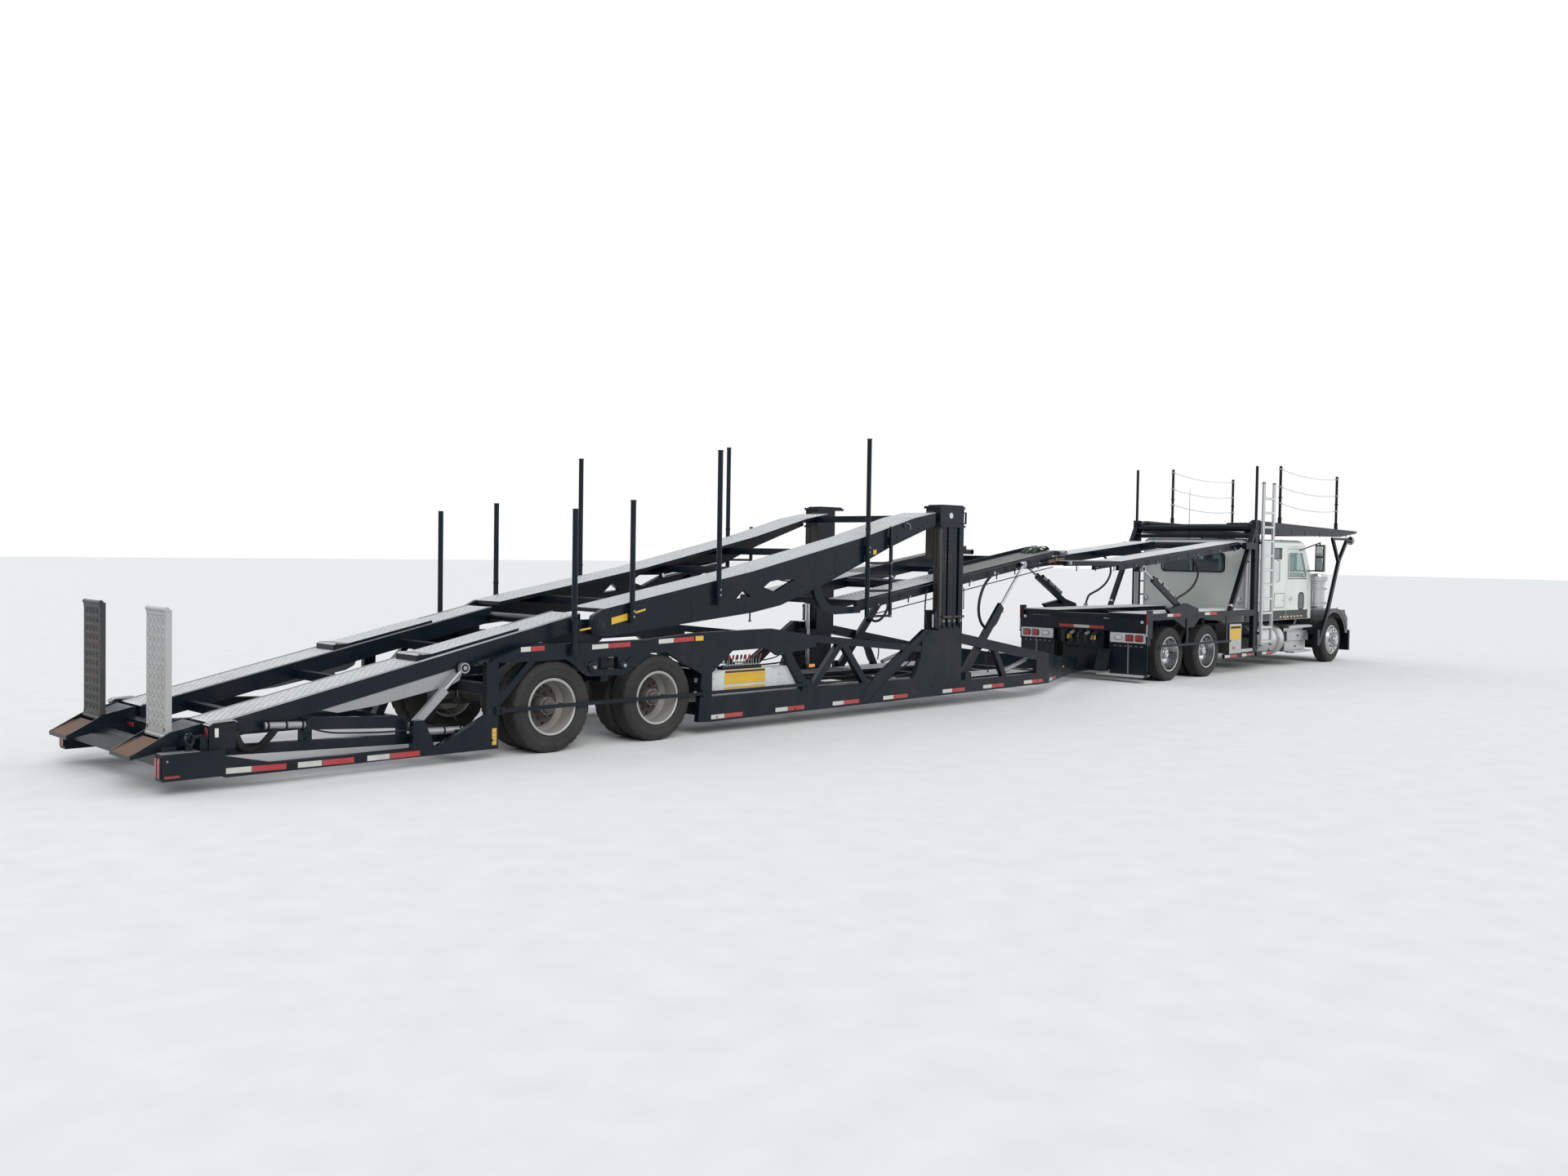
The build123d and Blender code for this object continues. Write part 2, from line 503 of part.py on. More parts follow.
# Flip ramps
for tag, side in (("left", 1), ("right", -1)):
    with BuildPart() as ramp:
        y0, y1 = sides(side, ramp_in, ramp_out)
        block(ramp_x - 6, ramp_x + 6, y0, y1, ramp_z + 16, ramp_z + ramp_len)
        for edge in (ramp_in, ramp_out - 8):
            e0, e1 = sides(side, edge, edge + 8)
            block(ramp_x - 6, ramp_x + ramp_t, e0, e1, ramp_z + 16, ramp_z + ramp_len)
        tube((ramp_x, y0, ramp_z), (ramp_x, y1, ramp_z), 22)
        tube((ramp_x + 4, y0, ramp_z + ramp_len), (ramp_x + 4, y1, ramp_z + ramp_len), 20)
        with BuildSketch(Plane.YZ.offset(ramp_x - 20)):
            with Locations(((y0 + y1) / 2, ramp_z + 30 + (ramp_len - 30) / 2)):
                with GridLocations((y1 - y0) / 4.6, (ramp_len - 70) / 12.5, 4, 12):
                    SlotOverall(46, 26, rotation=90)
        extrude(amount=40, mode=Mode.SUBTRACT)
        tube((ramp_x, y0 - 5, ramp_z), (ramp_x, y1 + 5, ramp_z), 12 + running, mode=Mode.SUBTRACT)
    save(ramp, f"flip_ramp_{tag}")


# Lift struts in pairs: barrels on their foot pins, and rods with an open eye round the deck's pins
def strut_pair(name, foot, eye, split, inside, gap, depth, rod_r):
    fx, fz = foot
    ex, ez = eye
    run = math.hypot(ex - fx, ez - fz)
    ux = (ex - fx) / run
    uz = (ez - fz) / run

    def along(d, y):
        return (fx + ux * d, y, fz + uz * d)

    half = (arm_out - arm_in) / 2 - 3
    mid = (arm_in + arm_out) / 2
    with BuildPart() as barrels:
        for side in (1, -1):
            y = side * mid
            tube((fx, y - half, fz), (fx, y + half, fz), pin_r + 16)
            bar(fx, fz, fx + ux * run * split, fz + uz * run * split, depth, y - half, y + half)
            tube(along(pin_r + 20, y), along(run * split + 5, y), rod_r + running, mode=Mode.SUBTRACT)
            tube((fx, y - half - 5, fz), (fx, y + half + 5, fz), pin_r + running, mode=Mode.SUBTRACT)
    save(barrels, f"{name}_barrels")
    with BuildPart() as rods:
        for side in (1, -1):
            y = side * mid
            tube((ex, y - half, ez), (ex, y + half, ez), pin_r + gap + 14)
            tube(along(run * inside, y), along(run, y), rod_r)
            tube((ex, y - half - 5, ez), (ex, y + half + 5, ez), pin_r + gap, mode=Mode.SUBTRACT)
    save(rods, f"{name}_rods")


for name, foot, eye, split, inside, gap, depth, rod_r in (
    ("front_lift", front_foot, front_eye, 0.62, 0.3, 7, 124, 21),
    ("truck_lift", truck_foot, truck_eye, 0.74, 0.45, 16, 100, 20),
    ("tail_lift", tail_foot, tail_eye, 0.62, 0.2, 15, 78, 19),
):
    strut_pair(name, foot, eye, split, inside, gap, depth, rod_r)

# Truck frame with deck side rails, lift plates and the stinger down to the hitch pin
with BuildPart() as frame:
    for side in (1, -1):
        y0, y1 = sides(side, 340, 430)
        block(truck_rear + 20, ax + 20250, y0, y1, 620, 860)
        y2, y3 = sides(side, side_in, side_out)
        block(truck_rear, ax + 15850, y2, y3, 1060, truck_deck_z)
        plate(at([(12670, 1240), (13330, 1330), (13730, 1230), (13780, 1060), (13580, 910), (13250, 910), (12900, 1060)]), y2, y3)
        tube((truck_foot[0], side * arm_in, truck_foot[1]), (truck_foot[0], side * (side_in + 10), truck_foot[1]), pin_r)
        g0, g1 = sides(side, half_width + 5, half_width + 21)
        block(ax + 12370, ax + 14930, g0, g1, 600, 640)
        g2, g3 = sides(side, half_width - 8, half_width + 10)
        for x in (13300, 14750):
            block(ax + x, ax + x + 60, g2, g3, 600, 1070)
    for x in (12100, 13520, 14700, 15700):
        block(ax + x - 50, ax + x + 50, -side_in - 10, side_in + 10, 1070, 1140)
        block(ax + x - 50, ax + x + 50, -350, 350, 700, 1080)
    for x in (16800, 18300, 20150):
        block(ax + x - 60, ax + x + 60, -350, 350, 660, 820)
    block(truck_rear + 60, ax + 12260, -400, 400, 150, 700)
    block(hitch_x - 160, truck_rear + 70, -170, 170, 150, 190)
    tube((hitch_x, 0, 180), (hitch_x, 0, 330), 60)
save(frame, "truck_frame")

with BuildPart() as truck_axles:
    for station in (drive_x, drive_x + drive_axle_gap):
        tube((station, -drive_dual_y - 110, drive_tyre_r), (station, drive_dual_y + 110, drive_tyre_r), spindle_r)
        tube((station, -640, drive_tyre_r), (station, 640, drive_tyre_r), 74)
        with Locations((station, 0, drive_tyre_r)):
            Sphere(185)
        for side in (1, -1):
            y0, y1 = sides(side, 345, 425)
            block(station - 260, station + 420, y0, y1, drive_tyre_r - 110, drive_tyre_r - 30)
            block(station - 60, station + 60, y0, y1, drive_tyre_r - 60, 620)
    tube((drive_x, 0, drive_tyre_r + 60), (drive_x + drive_axle_gap + 900, 0, drive_tyre_r + 90), 52)
    block(steer_x - 50, steer_x + 50, 85 - kingpin_y, kingpin_y - 85, drive_tyre_r - 110, drive_tyre_r - 20)
    for side in (1, -1):
        y0, y1 = sides(side, kingpin_y - 125, kingpin_y + 30)
        block(steer_x - 36, steer_x + 36, y0, y1, drive_tyre_r - 150, drive_tyre_r - 101)
        block(steer_x - 36, steer_x + 36, y0, y1, drive_tyre_r + 101, drive_tyre_r + 146)
        tube((steer_x, side * kingpin_y, drive_tyre_r - 150), (steer_x, side * kingpin_y, drive_tyre_r + 146), kingpin_r)
        y2, y3 = sides(side, kingpin_y - 125, kingpin_y - 60)
        block(steer_x - 42, steer_x + 42, y2, y3, drive_tyre_r - 150, drive_tyre_r + 146)
        y4, y5 = sides(side, 350, 420)
        block(steer_x - 420, steer_x + 420, y4, y5, drive_tyre_r - 20, drive_tyre_r + 20)
        for x in (-400, 340):
            block(steer_x + x, steer_x + x + 60, y4, y5, drive_tyre_r, 620)
    make_room(frame)
save(truck_axles, "truck_axles")

# Truck rear face with lamp panels and mud flaps, and the skin of its rear deck
with BuildPart() as rear_deck:
    for side in (1, -1):
        y0, y1 = sides(side, 560, half_width - 20)
        block(truck_rear, truck_rear + 120, y0, y1, 640, 1065)
        block(truck_rear + 30, truck_rear + 42, y0, y1, 130, 645)
        y2, y3 = sides(side, half_width - 30, side_out)
        block(truck_rear - 10, truck_rear + 160, y2, y3, 760, 1230)
        y4, y5 = sides(side, 520, side_in - 5)
        block(truck_rear, ax + 15840, y4, y5, 1140, 1170)
        block(truck_rear - 20, truck_rear + 200, *sides(side, 330, half_width - 60), 95, 131)
    block(truck_rear, truck_rear + 120, -570, 570, 860, 1062)
    make_room(frame)
save(rear_deck, "truck_rear_deck")

# Truck upper deck
with BuildPart() as truck_deck:
    tx, tz = truck_deck_pivot
    for side in (1, -1):
        y0, y1 = sides(side, run_in, run_out)
        sloped(ax + 11340, 2045, ax + 15500, 2430, run_t, y0, y1)
        for edge in (run_out - beam_w, run_in):
            y2, y3 = sides(side, edge, edge + beam_w)
            sloped(ax + 11340, 2010, tx, 2400, beam_d - 20, y2, y3)
            sloped(ax + 9800, 2040, ax + 11350, 2050, 70, y2, y3)
        sloped(ax + 9800, 2042, ax + 11350, 2050, 24, y0, y1)
        l0, l1 = sides(side, run_out - beam_w, run_out)
        plate([(truck_eye[0] - 60, truck_eye[1] - 50), (truck_eye[0] + 60, truck_eye[1] - 50), (truck_eye[0] + 120, 2040), (truck_eye[0] - 120, 2020)], l0, l1)
        tube((truck_eye[0], side * (run_out - 10), truck_eye[1]), (truck_eye[0], side * arm_out, truck_eye[1]), pin_r)
    for x, z in ((9900, 1970), (11500, 1980), (13300, 2140), (15000, 2300)):
        block(ax + x - 40, ax + x + 40, -run_in - 5, run_in + 5, z, z + 70)
    tube((tx, -run_out, tz), (tx, run_out, tz), 62)
    tube((tx, -run_out - 5, tz), (tx, run_out + 5, tz), 34 + running, mode=Mode.SUBTRACT)
save(truck_deck, "truck_upper_deck")

# Rack frame: towers behind the cab, struts, pivot shafts, long ladder and the forked props at the front
with BuildPart() as rack_frame:
    for side in (1, -1):
        y0, y1 = sides(side, side_in - 15, side_out)
        block(ax + 15860, ax + 16030, y0, y1, 370, 2850)
        block(ax + 15840, ax + 16020, *sides(side, 420, side_in), 640, 700)
        bar(ax + 14980, 1160, ax + 15900, 2700, 70, y0, y1)
        tube((ax + 15930, side * (half_width - 40), 2840), (ax + 15930, side * (half_width - 40), 3860), post_r - 4)
        block(truck_deck_pivot[0] - 60, ax + 15870, y0, y1, truck_deck_pivot[1] - 60, truck_deck_pivot[1] + 60)
        l0, l1 = sides(side, half_width + 5, half_width + 45)
        ladder_top, rungs = (3560, 11) if side < 0 else (2480, 7)
        for x in (16090, 16520):
            block(ax + x - 22, ax + x + 22, l0, l1, 490, ladder_top)
        for k in range(rungs):
            z = 560 + k * 270
            tube((ax + 16090, (l0 + l1) / 2, z), (ax + 16520, (l0 + l1) / 2, z), 14)
        k0, k1 = sides(side, half_width - 40, half_width + 20)
        for z in (700, 2400):
            block(ax + 16010, ax + 16100, k0, k1, z, z + 50)
        # Forked prop
        for xa, za, xb, zb, d in (
            (18800, 420, 19180, 1000, 80), (19160, 960, 19700, 2120, 80), (19680, 2080, 19370, 2560, 60),
            (19680, 2080, 20100, 2560, 60), (19350, 2555, 20120, 2555, 50),
        ):
            bar(ax + xa, za, ax + xb, zb, d, *sides(side, half_width - 60, side_out))
        block(ax + 18710, ax + 18810, *sides(side, 420, side_out), 640, 700)
        block(ax + 18710, ax + 18810, *sides(side, half_width - 60, side_out), 380, 700)
    block(ax + 15880, ax + 16010, -side_in, side_in, 2505, 2580)
    for px, pz in (truck_deck_pivot, rack_pivot):
        tube((px, -side_in - 10, pz), (px, side_in + 10, pz), 34)
    make_room(frame, rear_deck)
save(rack_frame, "rack_frame")

# Head rack over the cab, with its posts
with BuildPart() as rack:
    for side in (1, -1):
        y0, y1 = sides(side, side_in - 125, side_in - 25)
        plate([(ax + 15900, 2780), (ax + 16060, 2845), (front_x, 2735), (front_x, 2690), (ax + 19900, 2600), (ax + 16060, 2590), (ax + 15900, 2650)], y0, y1)
        y2, y3 = sides(side, run_in, side_in - 115)
        sloped(ax + 16060, 2800, front_x, 2705, 36, y2, y3)
        for x, zb, zt in rack_posts:
            tube((ax + x, side * (side_in - 70), zb), (ax + x, side * (side_in - 70), zt), post_r - 4)
    for x in (16200, 17800, 19300, 20600):
        z = 2795 - 95 * (x - 16060) / 4690
        block(ax + x - 40, ax + x + 40, -run_in - 10, run_in + 10, z - 80, z - 10)
    tube((rack_pivot[0], 25 - side_in, rack_pivot[1]), (rack_pivot[0], side_in - 25, rack_pivot[1]), 60)
    tube((rack_pivot[0], 15 - side_in, rack_pivot[1]), (rack_pivot[0], side_in - 15, rack_pivot[1]), 34 + running, mode=Mode.SUBTRACT)
save(rack, "head_rack")

# Guard cables that hang a little between the posts
with BuildPart() as cables:
    for side in (1, -1):
        y = side * (side_in - 70)
        (xa, za_foot, za), (xb, zb_foot, zb) = rack_posts
        for drop in cable_drops:
            with BuildLine() as run:
                ThreePointArc((ax + xa, y, za - drop), (ax + (xa + xb) / 2, y, (za + zb) / 2 - drop - cable_sag), (ax + xb, y, zb - drop))
            with BuildSketch(Plane(origin=run.line @ 0, z_dir=run.line % 0)) as strand:
                Circle(cable_r)
            sweep(strand.sketch, path=run.line)
    make_room(rack)
save(cables, "rack_cables")

# Cab shell with sleeper
with BuildPart() as cab:
    plate([(sleeper_rear, cab_floor), (cab_front, cab_floor), (cab_front, 1780), (ax + 18420, 2440), (ax + 18300, cab_roof), (sleeper_rear, cab_roof)], -cab_half, cab_half)
    fillet(cab.edges().filter_by(Axis.X).group_by(Axis.Z)[-1], 110)
    fillet(cab.edges().filter_by(Axis.Z).group_by(Axis.X)[0], 80)
    plate([(sleeper_rear + wall, cab_floor + 60), (cab_front - wall, cab_floor + 60), (cab_front - wall, 1765), (ax + 18370, 2400), (ax + 18290, cab_roof - wall), (sleeper_rear + wall, cab_roof - wall)], -cab_half + wall, cab_half - wall, mode=Mode.SUBTRACT)
    # Windscreen, rear window, side windows and the door openings
    plate([(cab_front + 10, 1830), (cab_front - 90, 1830), (ax + 18330, 2400), (ax + 18470, 2400)], -cab_half + 110, cab_half - 110, mode=Mode.SUBTRACT)
    block(sleeper_rear - 10, sleeper_rear + wall + 10, -640, 640, 1880, 2200, mode=Mode.SUBTRACT)
    for side in (1, -1):
        y0, y1 = sides(side, cab_half - wall - 5, cab_half + 5)
        plate([(door_rear, cab_floor + 60), (door_front, cab_floor + 60), (door_front, 1840), (ax + 18390, 2330), (door_rear, 2330)], y0, y1, mode=Mode.SUBTRACT)
        plate(at([(16950, 2130), (17400, 2130), (17400, 2330), (16950, 2330)]), y0, y1, mode=Mode.SUBTRACT)
        # Room for the door's hinge barrels
        tube((door_front, side * cab_half, cab_floor + 70), (door_front, side * cab_half, 1836), hinge_r + 3, mode=Mode.SUBTRACT)
        block(ax + 16300, ax + 18500, *sides(side, 350, 430), 860, cab_floor + 1)
save(cab, "cab_shell")

with BuildPart() as glass:
    plate([(cab_front - 20, 1830), (cab_front - 28, 1828), (ax + 18400, 2392), (ax + 18410, 2396)], -cab_half + 110, cab_half - 110)
    block(sleeper_rear + 15, sleeper_rear + 21, -640, 640, 1880, 2200)
    for side in (1, -1):
        y0, y1 = sides(side, cab_half - 24, cab_half - 18)
        block(ax + 16950, ax + 17400, y0, y1, 2130, 2330)
    make_room(cab)
save(glass, "cab_glass")

# Doors, their glass and the mirrors they carry
for tag, side in (("left", 1), ("right", -1)):
    with BuildPart() as door:
        y0, y1 = sides(side, cab_half - wall, cab_half)
        plate([(door_rear + 6, cab_floor + 66), (door_front - 6, cab_floor + 66), (door_front - 6, 1838), (ax + 18382, 2322), (door_rear + 6, 2322)], y0, y1,
              holes=[[(door_rear + 90, 1760), (door_front - 80, 1760), (door_front - 80, 1830), (ax + 18340, 2250), (door_rear + 90, 2250)]])
        for z in (cab_floor + 160, 1640):
            tube((door_front, side * cab_half, z), (door_front, side * cab_half, z + 110), hinge_r)
            block(door_front - 12, door_front, *sides(side, cab_half - 12, cab_half), z, z + 110)
    save(door, f"door_{tag}")
    with BuildPart() as pane:
        y2, y3 = sides(side, cab_half - 26, cab_half - 20)
        plate([(door_rear + 90, 1760), (door_front - 80, 1760), (door_front - 80, 1830), (ax + 18340, 2250), (door_rear + 90, 2250)], y2, y3)
    save(pane, f"door_glass_{tag}")
    with BuildPart() as mirror:
        m0, m1 = sides(side, half_width - 20, half_width + 160)
        block(ax + 18520, ax + 18590, m0, m1, 1880, 2420)
        tube((ax + 18555, side * (half_width + 60), 2400), (ax + 18555, side * (half_width + 60), 2474), 14)
        tube((ax + 18200, side * (cab_half - 2), 2300), (ax + 18555, side * (half_width + 60), 2460), 13)
        tube((ax + 18566, side * (cab_half - 2), 1890), (ax + 18555, side * (half_width + 60), 1905), 13)
        make_room(door, pane)
    save(mirror, f"mirror_{tag}")

# Seats, dash and wheel seen through the glass
with BuildPart() as interior:
    for side in (1, -1):
        y0, y1 = sides(side, 300, cab_half - 270)
        block(ax + 17500, ax + 18000, y0, y1, cab_floor + 60, 1500)
        block(ax + 17420, ax + 17540, y0, y1, 1400, 2100)
    block(ax + 18420, cab_front - wall, -cab_half + wall, cab_half - wall, 1400, 1740)
    tube((ax + 18310, 520, 1628), (ax + 18440, 520, 1600), 26)
    tube((ax + 18300, 520, 1620), (ax + 18325, 520, 1630), 210, 180)
    block(ax + 18302, ax + 18322, 320, 720, 1600, 1650)
    make_room(cab)
save(interior, "cab_interior")

# Bonnet with wings, grille and lamp pods, tilting forward
with BuildPart() as bonnet:
    plate([(cab_front + 12, 1760), (ax + 20230, 1540), (ax + 20340, 1400), (ax + 20350, 640), (ax + 20230, 640), (cab_front + 12, 1040)], -640, 640)
    fillet(bonnet.edges().filter_by(lambda e: abs(e.center().Y) > 630 and e.center().X > ax + 19000 and e.center().Z > 1000), 90)
    for side in (1, -1):
        y0, y1 = sides(side, 600, side_in)
        with BuildSketch(Plane.XZ.offset(-y0)) as wing:
            with Locations((steer_x, drive_tyre_r)):
                Circle(wing_r)
            Polygon(
                (steer_x, wing_foot), (steer_x, drive_tyre_r + wing_r), (ax + 20150, drive_tyre_r + wing_r - 50), (ax + 20330, 900),
                (ax + 20345, wing_foot), align=None,
            )
            with Locations((steer_x, drive_tyre_r)):
                Circle(arch_r, mode=Mode.SUBTRACT)
            with Locations((steer_x, wing_foot - wing_r)):
                Rectangle(3 * wing_r, 2 * wing_r, mode=Mode.SUBTRACT)
        extrude(wing.sketch, amount=y1 - y0, dir=(0, 1, 0))
        block(ax + 20080, ax + 20352, *sides(side, side_in - 435, side_in - 65), 860, 1072)
    block(ax + 18700, ax + 20250, -560, 560, 600, 1470, mode=Mode.SUBTRACT)
    block(ax + 20200, ax + 20300, -440, 440, 600, 700, mode=Mode.SUBTRACT)
    # Grille: a recess with level bars
    block(ax + 20305, ax + 20360, -470, 470, 730, 1370, mode=Mode.SUBTRACT)
    for k in range(10):
        block(ax + 20300, ax + 20338, -475, 475, 755 + k * 62, 781 + k * 62)
    for side in (1, -1):
        y0, y1 = sides(side, 460, 540)
        tube((bonnet_pivot[0], y0, bonnet_pivot[1]), (bonnet_pivot[0], y1, bonnet_pivot[1]), 30)
        plate([(ax + 20260, 760), (ax + 20260, 660), (bonnet_pivot[0], bonnet_pivot[1] - 28), (bonnet_pivot[0] + 20, bonnet_pivot[1] + 15)], y0, y1)
    tube((bonnet_pivot[0], -600, bonnet_pivot[1]), (bonnet_pivot[0], 600, bonnet_pivot[1]), 15 + running, mode=Mode.SUBTRACT)
save(bonnet, "bonnet")

with BuildPart() as engine:
    block(ax + 18950, ax + 20050, -330, 330, 860, 1400)
    for x in (19050, 19900):
        block(ax + x, ax + x + 80, -410, 410, 860, 900)
save(engine, "engine")

with BuildPart() as bumper:
    with BuildSketch(Plane.XY.offset(bumper_z0)) as plan:
        with BuildLine():
            ThreePointArc((ax + 20470, -side_in), (ax + 20640, 0), (ax + 20470, side_in))
            Polyline((ax + 20470, side_in), (ax + 20400, side_in), (ax + 20400, -side_in), (ax + 20470, -side_in))
        make_face()
    extrude(plan.sketch, amount=bumper_z1 - bumper_z0, dir=(0, 0, 1))
    # Pockets round the bonnet's lugs
    for side in (1, -1):
        block(ax + 20390, ax + 20475, *sides(side, 445, 555), 530, bumper_z1 + 10, mode=Mode.SUBTRACT)
    for side in (1, -1):
        y0, y1 = sides(side, 340, 430)
        block(ax + 20150, ax + 20410, y0, y1, 400, 620)
        tube((bonnet_pivot[0], side * 420, bonnet_pivot[1]), (bonnet_pivot[0], side * 560, bonnet_pivot[1]), 15)
save(bumper, "front_bumper")

# Tanks, steps and boxes along the frame
with BuildPart() as tanks:
    for side in (1, -1):
        tube((ax + 16100, side * tank_y, 545), (ax + 17420, side * tank_y, 545), 290)
        for x in (16300, 17150):
            block(ax + x, ax + x + 60, *sides(side, 430, 620), 500, 700)
            tube((ax + x - 20, side * tank_y, 545), (ax + x + 80, side * tank_y, 545), 298)
        # Upper and lower box with level ribs, and the steps over them
        block(ax + 17680, ax + 18560, *sides(side, 640, step_out - 140), 290, 780)
        for xa, xb, face, z0, z1 in ((17690, 18660, step_out - 80, 500, 690), (17620, 18580, step_out - 100, 292, 492)):
            block(ax + xa, ax + xb, *sides(side, step_out - 180, face), z0, z1)
            for k in range(4):
                block(ax + xa + 20, ax + xb - 20, *sides(side, face - 2, face + 10), z0 + 20 + k * 44, z0 + 38 + k * 44)
        block(ax + 17620, ax + 18680, *sides(side, 430, step_out - 5), 760, 800)
        block(ax + 17850, ax + 18660, *sides(side, step_out - 180, step_out), 262, 300)
        block(ax + 14930, ax + 15390, *sides(side, half_width - 290, half_width - 10), 380, 920)
        block(ax + 15380, ax + 15850, *sides(side, half_width - 110, half_width - 8), 390, 450)
        block(ax + 15100, ax + 15200, *sides(side, 430, half_width - 280), 640, 720)
    make_room(frame, rack_frame)
save(tanks, "tanks_and_steps")

with BuildPart() as cleaners:
    for side in (1, -1):
        with BuildSketch(Plane(origin=(ax + 18950, side * cleaner_y, 1130), x_dir=(1, 0, 0), z_dir=(0, -1, 0))) as half:
            Polygon(*[(r, z) for r, z in (
                (0, 0), (120, 0), (158, 44), (170, 46), (170, 70), (160, 72), (160, 500), (170, 510), (170, 545), (205, 560), (208, 650),
                (180, 700), (0, 715),
            )], align=None)
        revolve(half.sketch, axis=Axis((ax + 18950, side * cleaner_y, 1130), (0, 0, 1)))
        block(cab_front - 5, cab_front + 80, *sides(side, cab_half - 130, cab_half - 10), 1500, 1540)
    make_room(cab)
save(cleaners, "air_cleaners")

with BuildPart() as control:
    plate(at([(2230, 730), (3530, 730), (3780, 400), (2290, 380), (2230, 460)]), -side_in - 5, -side_in + 160)
    make_room(side_frames, floor)
save(control, "control_box")
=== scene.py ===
import bmesh
import json
from math import atan2, copysign, cos, hypot, pi, radians, sin
import bpy
from mathutils import Matrix, Vector
from mathutils.geometry import tessellate_polygon


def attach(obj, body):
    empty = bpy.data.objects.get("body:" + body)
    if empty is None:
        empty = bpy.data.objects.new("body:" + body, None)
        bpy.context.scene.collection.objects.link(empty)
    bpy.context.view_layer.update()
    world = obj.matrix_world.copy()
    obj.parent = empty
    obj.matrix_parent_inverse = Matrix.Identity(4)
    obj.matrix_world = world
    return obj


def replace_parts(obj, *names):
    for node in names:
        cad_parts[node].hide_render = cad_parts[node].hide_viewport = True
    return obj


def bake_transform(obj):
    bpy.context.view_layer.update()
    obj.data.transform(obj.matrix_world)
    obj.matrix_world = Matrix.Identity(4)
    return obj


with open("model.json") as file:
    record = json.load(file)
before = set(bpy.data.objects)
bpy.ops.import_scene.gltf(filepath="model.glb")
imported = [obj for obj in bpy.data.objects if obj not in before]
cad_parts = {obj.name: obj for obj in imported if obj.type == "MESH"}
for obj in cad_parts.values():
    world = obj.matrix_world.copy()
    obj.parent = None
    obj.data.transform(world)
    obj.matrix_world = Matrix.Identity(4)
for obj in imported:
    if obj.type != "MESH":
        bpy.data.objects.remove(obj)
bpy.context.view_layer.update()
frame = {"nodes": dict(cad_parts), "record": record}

# Stations are given in metres forward of the trailer's rear axle, which stands at AX in the frame.
# Heights are above the ground. Y values are distances from the middle plane.
AX = -8.315
HALF = 1.29
SIDE_IN = 1.215
SIDE_OUT = 1.285
ARM_IN, ARM_OUT = 1.138, 1.196
ARM_Y = (ARM_IN + ARM_OUT) / 2
RUN_IN, RUN_OUT = 0.6, 1.11
CAB = 1.09
TANK_Y = CAB - 0.21
STEP_OUT = CAB + 0.09
CLEANER_Y = CAB + 0.035
TOWER_X0, TOWER_X1, TOWER_Z0, TOWER_Z1 = 6.4, 6.93, 1.0, 2.79
COLUMNS = (0.099, 0.218, 0.338, 0.484)
TRUCK_REAR = 12.01
DRIVE_X, STEER_X = 12.86, 19.66
TRAILER_GAP, DRIVE_GAP = 1.42, 1.32
TRAILER_R, DRIVE_R = 0.48, 0.464
TRAILER_Y, DRIVE_Y, STEER_Y = HALF - 0.298, HALF - 0.334, HALF - 0.24
DUAL = 0.158
TYRE_STEPS = 96
STUD_R = 0.1425
BUMPER_R = 4.427
STRUT_Y, POST_Y = 1.15, 1.145
BEAD_R, FLANGE_R, RIM_HALF = 0.286, 0.2985, 0.112
BOTH = (1, -1)
OUT, BACK, UP = (0, 1, 0), (-1, 0, 0), (0, 0, 1)
SKIN = 0.004
TAPE_SPLIT, TAPE_HIGH, TAPE_Y = 0.42, 0.05, (SIDE_OUT - 0.002, SIDE_OUT + 0.0015)


# ---------- shared node groups ----------
def group(name, inputs, outputs):
    g = bpy.data.node_groups.new(name, "ShaderNodeTree")
    for label, kind, value in inputs:
        s = g.interface.new_socket(name=label, in_out="INPUT", socket_type=kind)
        if value is not None:
            s.default_value = value
    for label, kind in outputs:
        g.interface.new_socket(name=label, in_out="OUTPUT", socket_type=kind)
    return g, g.nodes.new("NodeGroupInput"), g.nodes.new("NodeGroupOutput")


def node(tree, kind, **values):
    n = tree.nodes.new(kind)
    for key, value in values.items():
        setattr(n, key, value)
    return n


def mix_colour(tree, fac, a, b):
    n = node(tree, "ShaderNodeMix", data_type="RGBA")
    for sock, value in ((n.inputs[0], fac), (n.inputs[6], a), (n.inputs[7], b)):
        if hasattr(value, "is_output"):
            tree.links.new(value, sock)
        else:
            sock.default_value = value
    return n.outputs[2]


def ramp(tree, value, low, high):
    n = node(tree, "ShaderNodeMapRange")
    tree.links.new(value, n.inputs["Value"])
    n.inputs["From Min"].default_value = low
    n.inputs["From Max"].default_value = high
    return n.outputs["Result"]


def maths(tree, op, a, b=None):
    n = node(tree, "ShaderNodeMath", operation=op)
    for k, value in enumerate((a, b)):
        if value is None:
            continue
        if hasattr(value, "is_output"):
            tree.links.new(value, n.inputs[k])
        else:
            n.inputs[k].default_value = value
    return n.outputs[0]


def noise(tree, vector, scale, detail, rough=0.5):
    n = node(tree, "ShaderNodeTexNoise")
    n.inputs["Detail"].default_value = detail
    n.inputs["Roughness"].default_value = rough
    if hasattr(scale, "is_output"):
        tree.links.new(scale, n.inputs["Scale"])
    else:
        n.inputs["Scale"].default_value = scale
    tree.links.new(vector, n.inputs["Vector"])
    return n.outputs["Fac"]


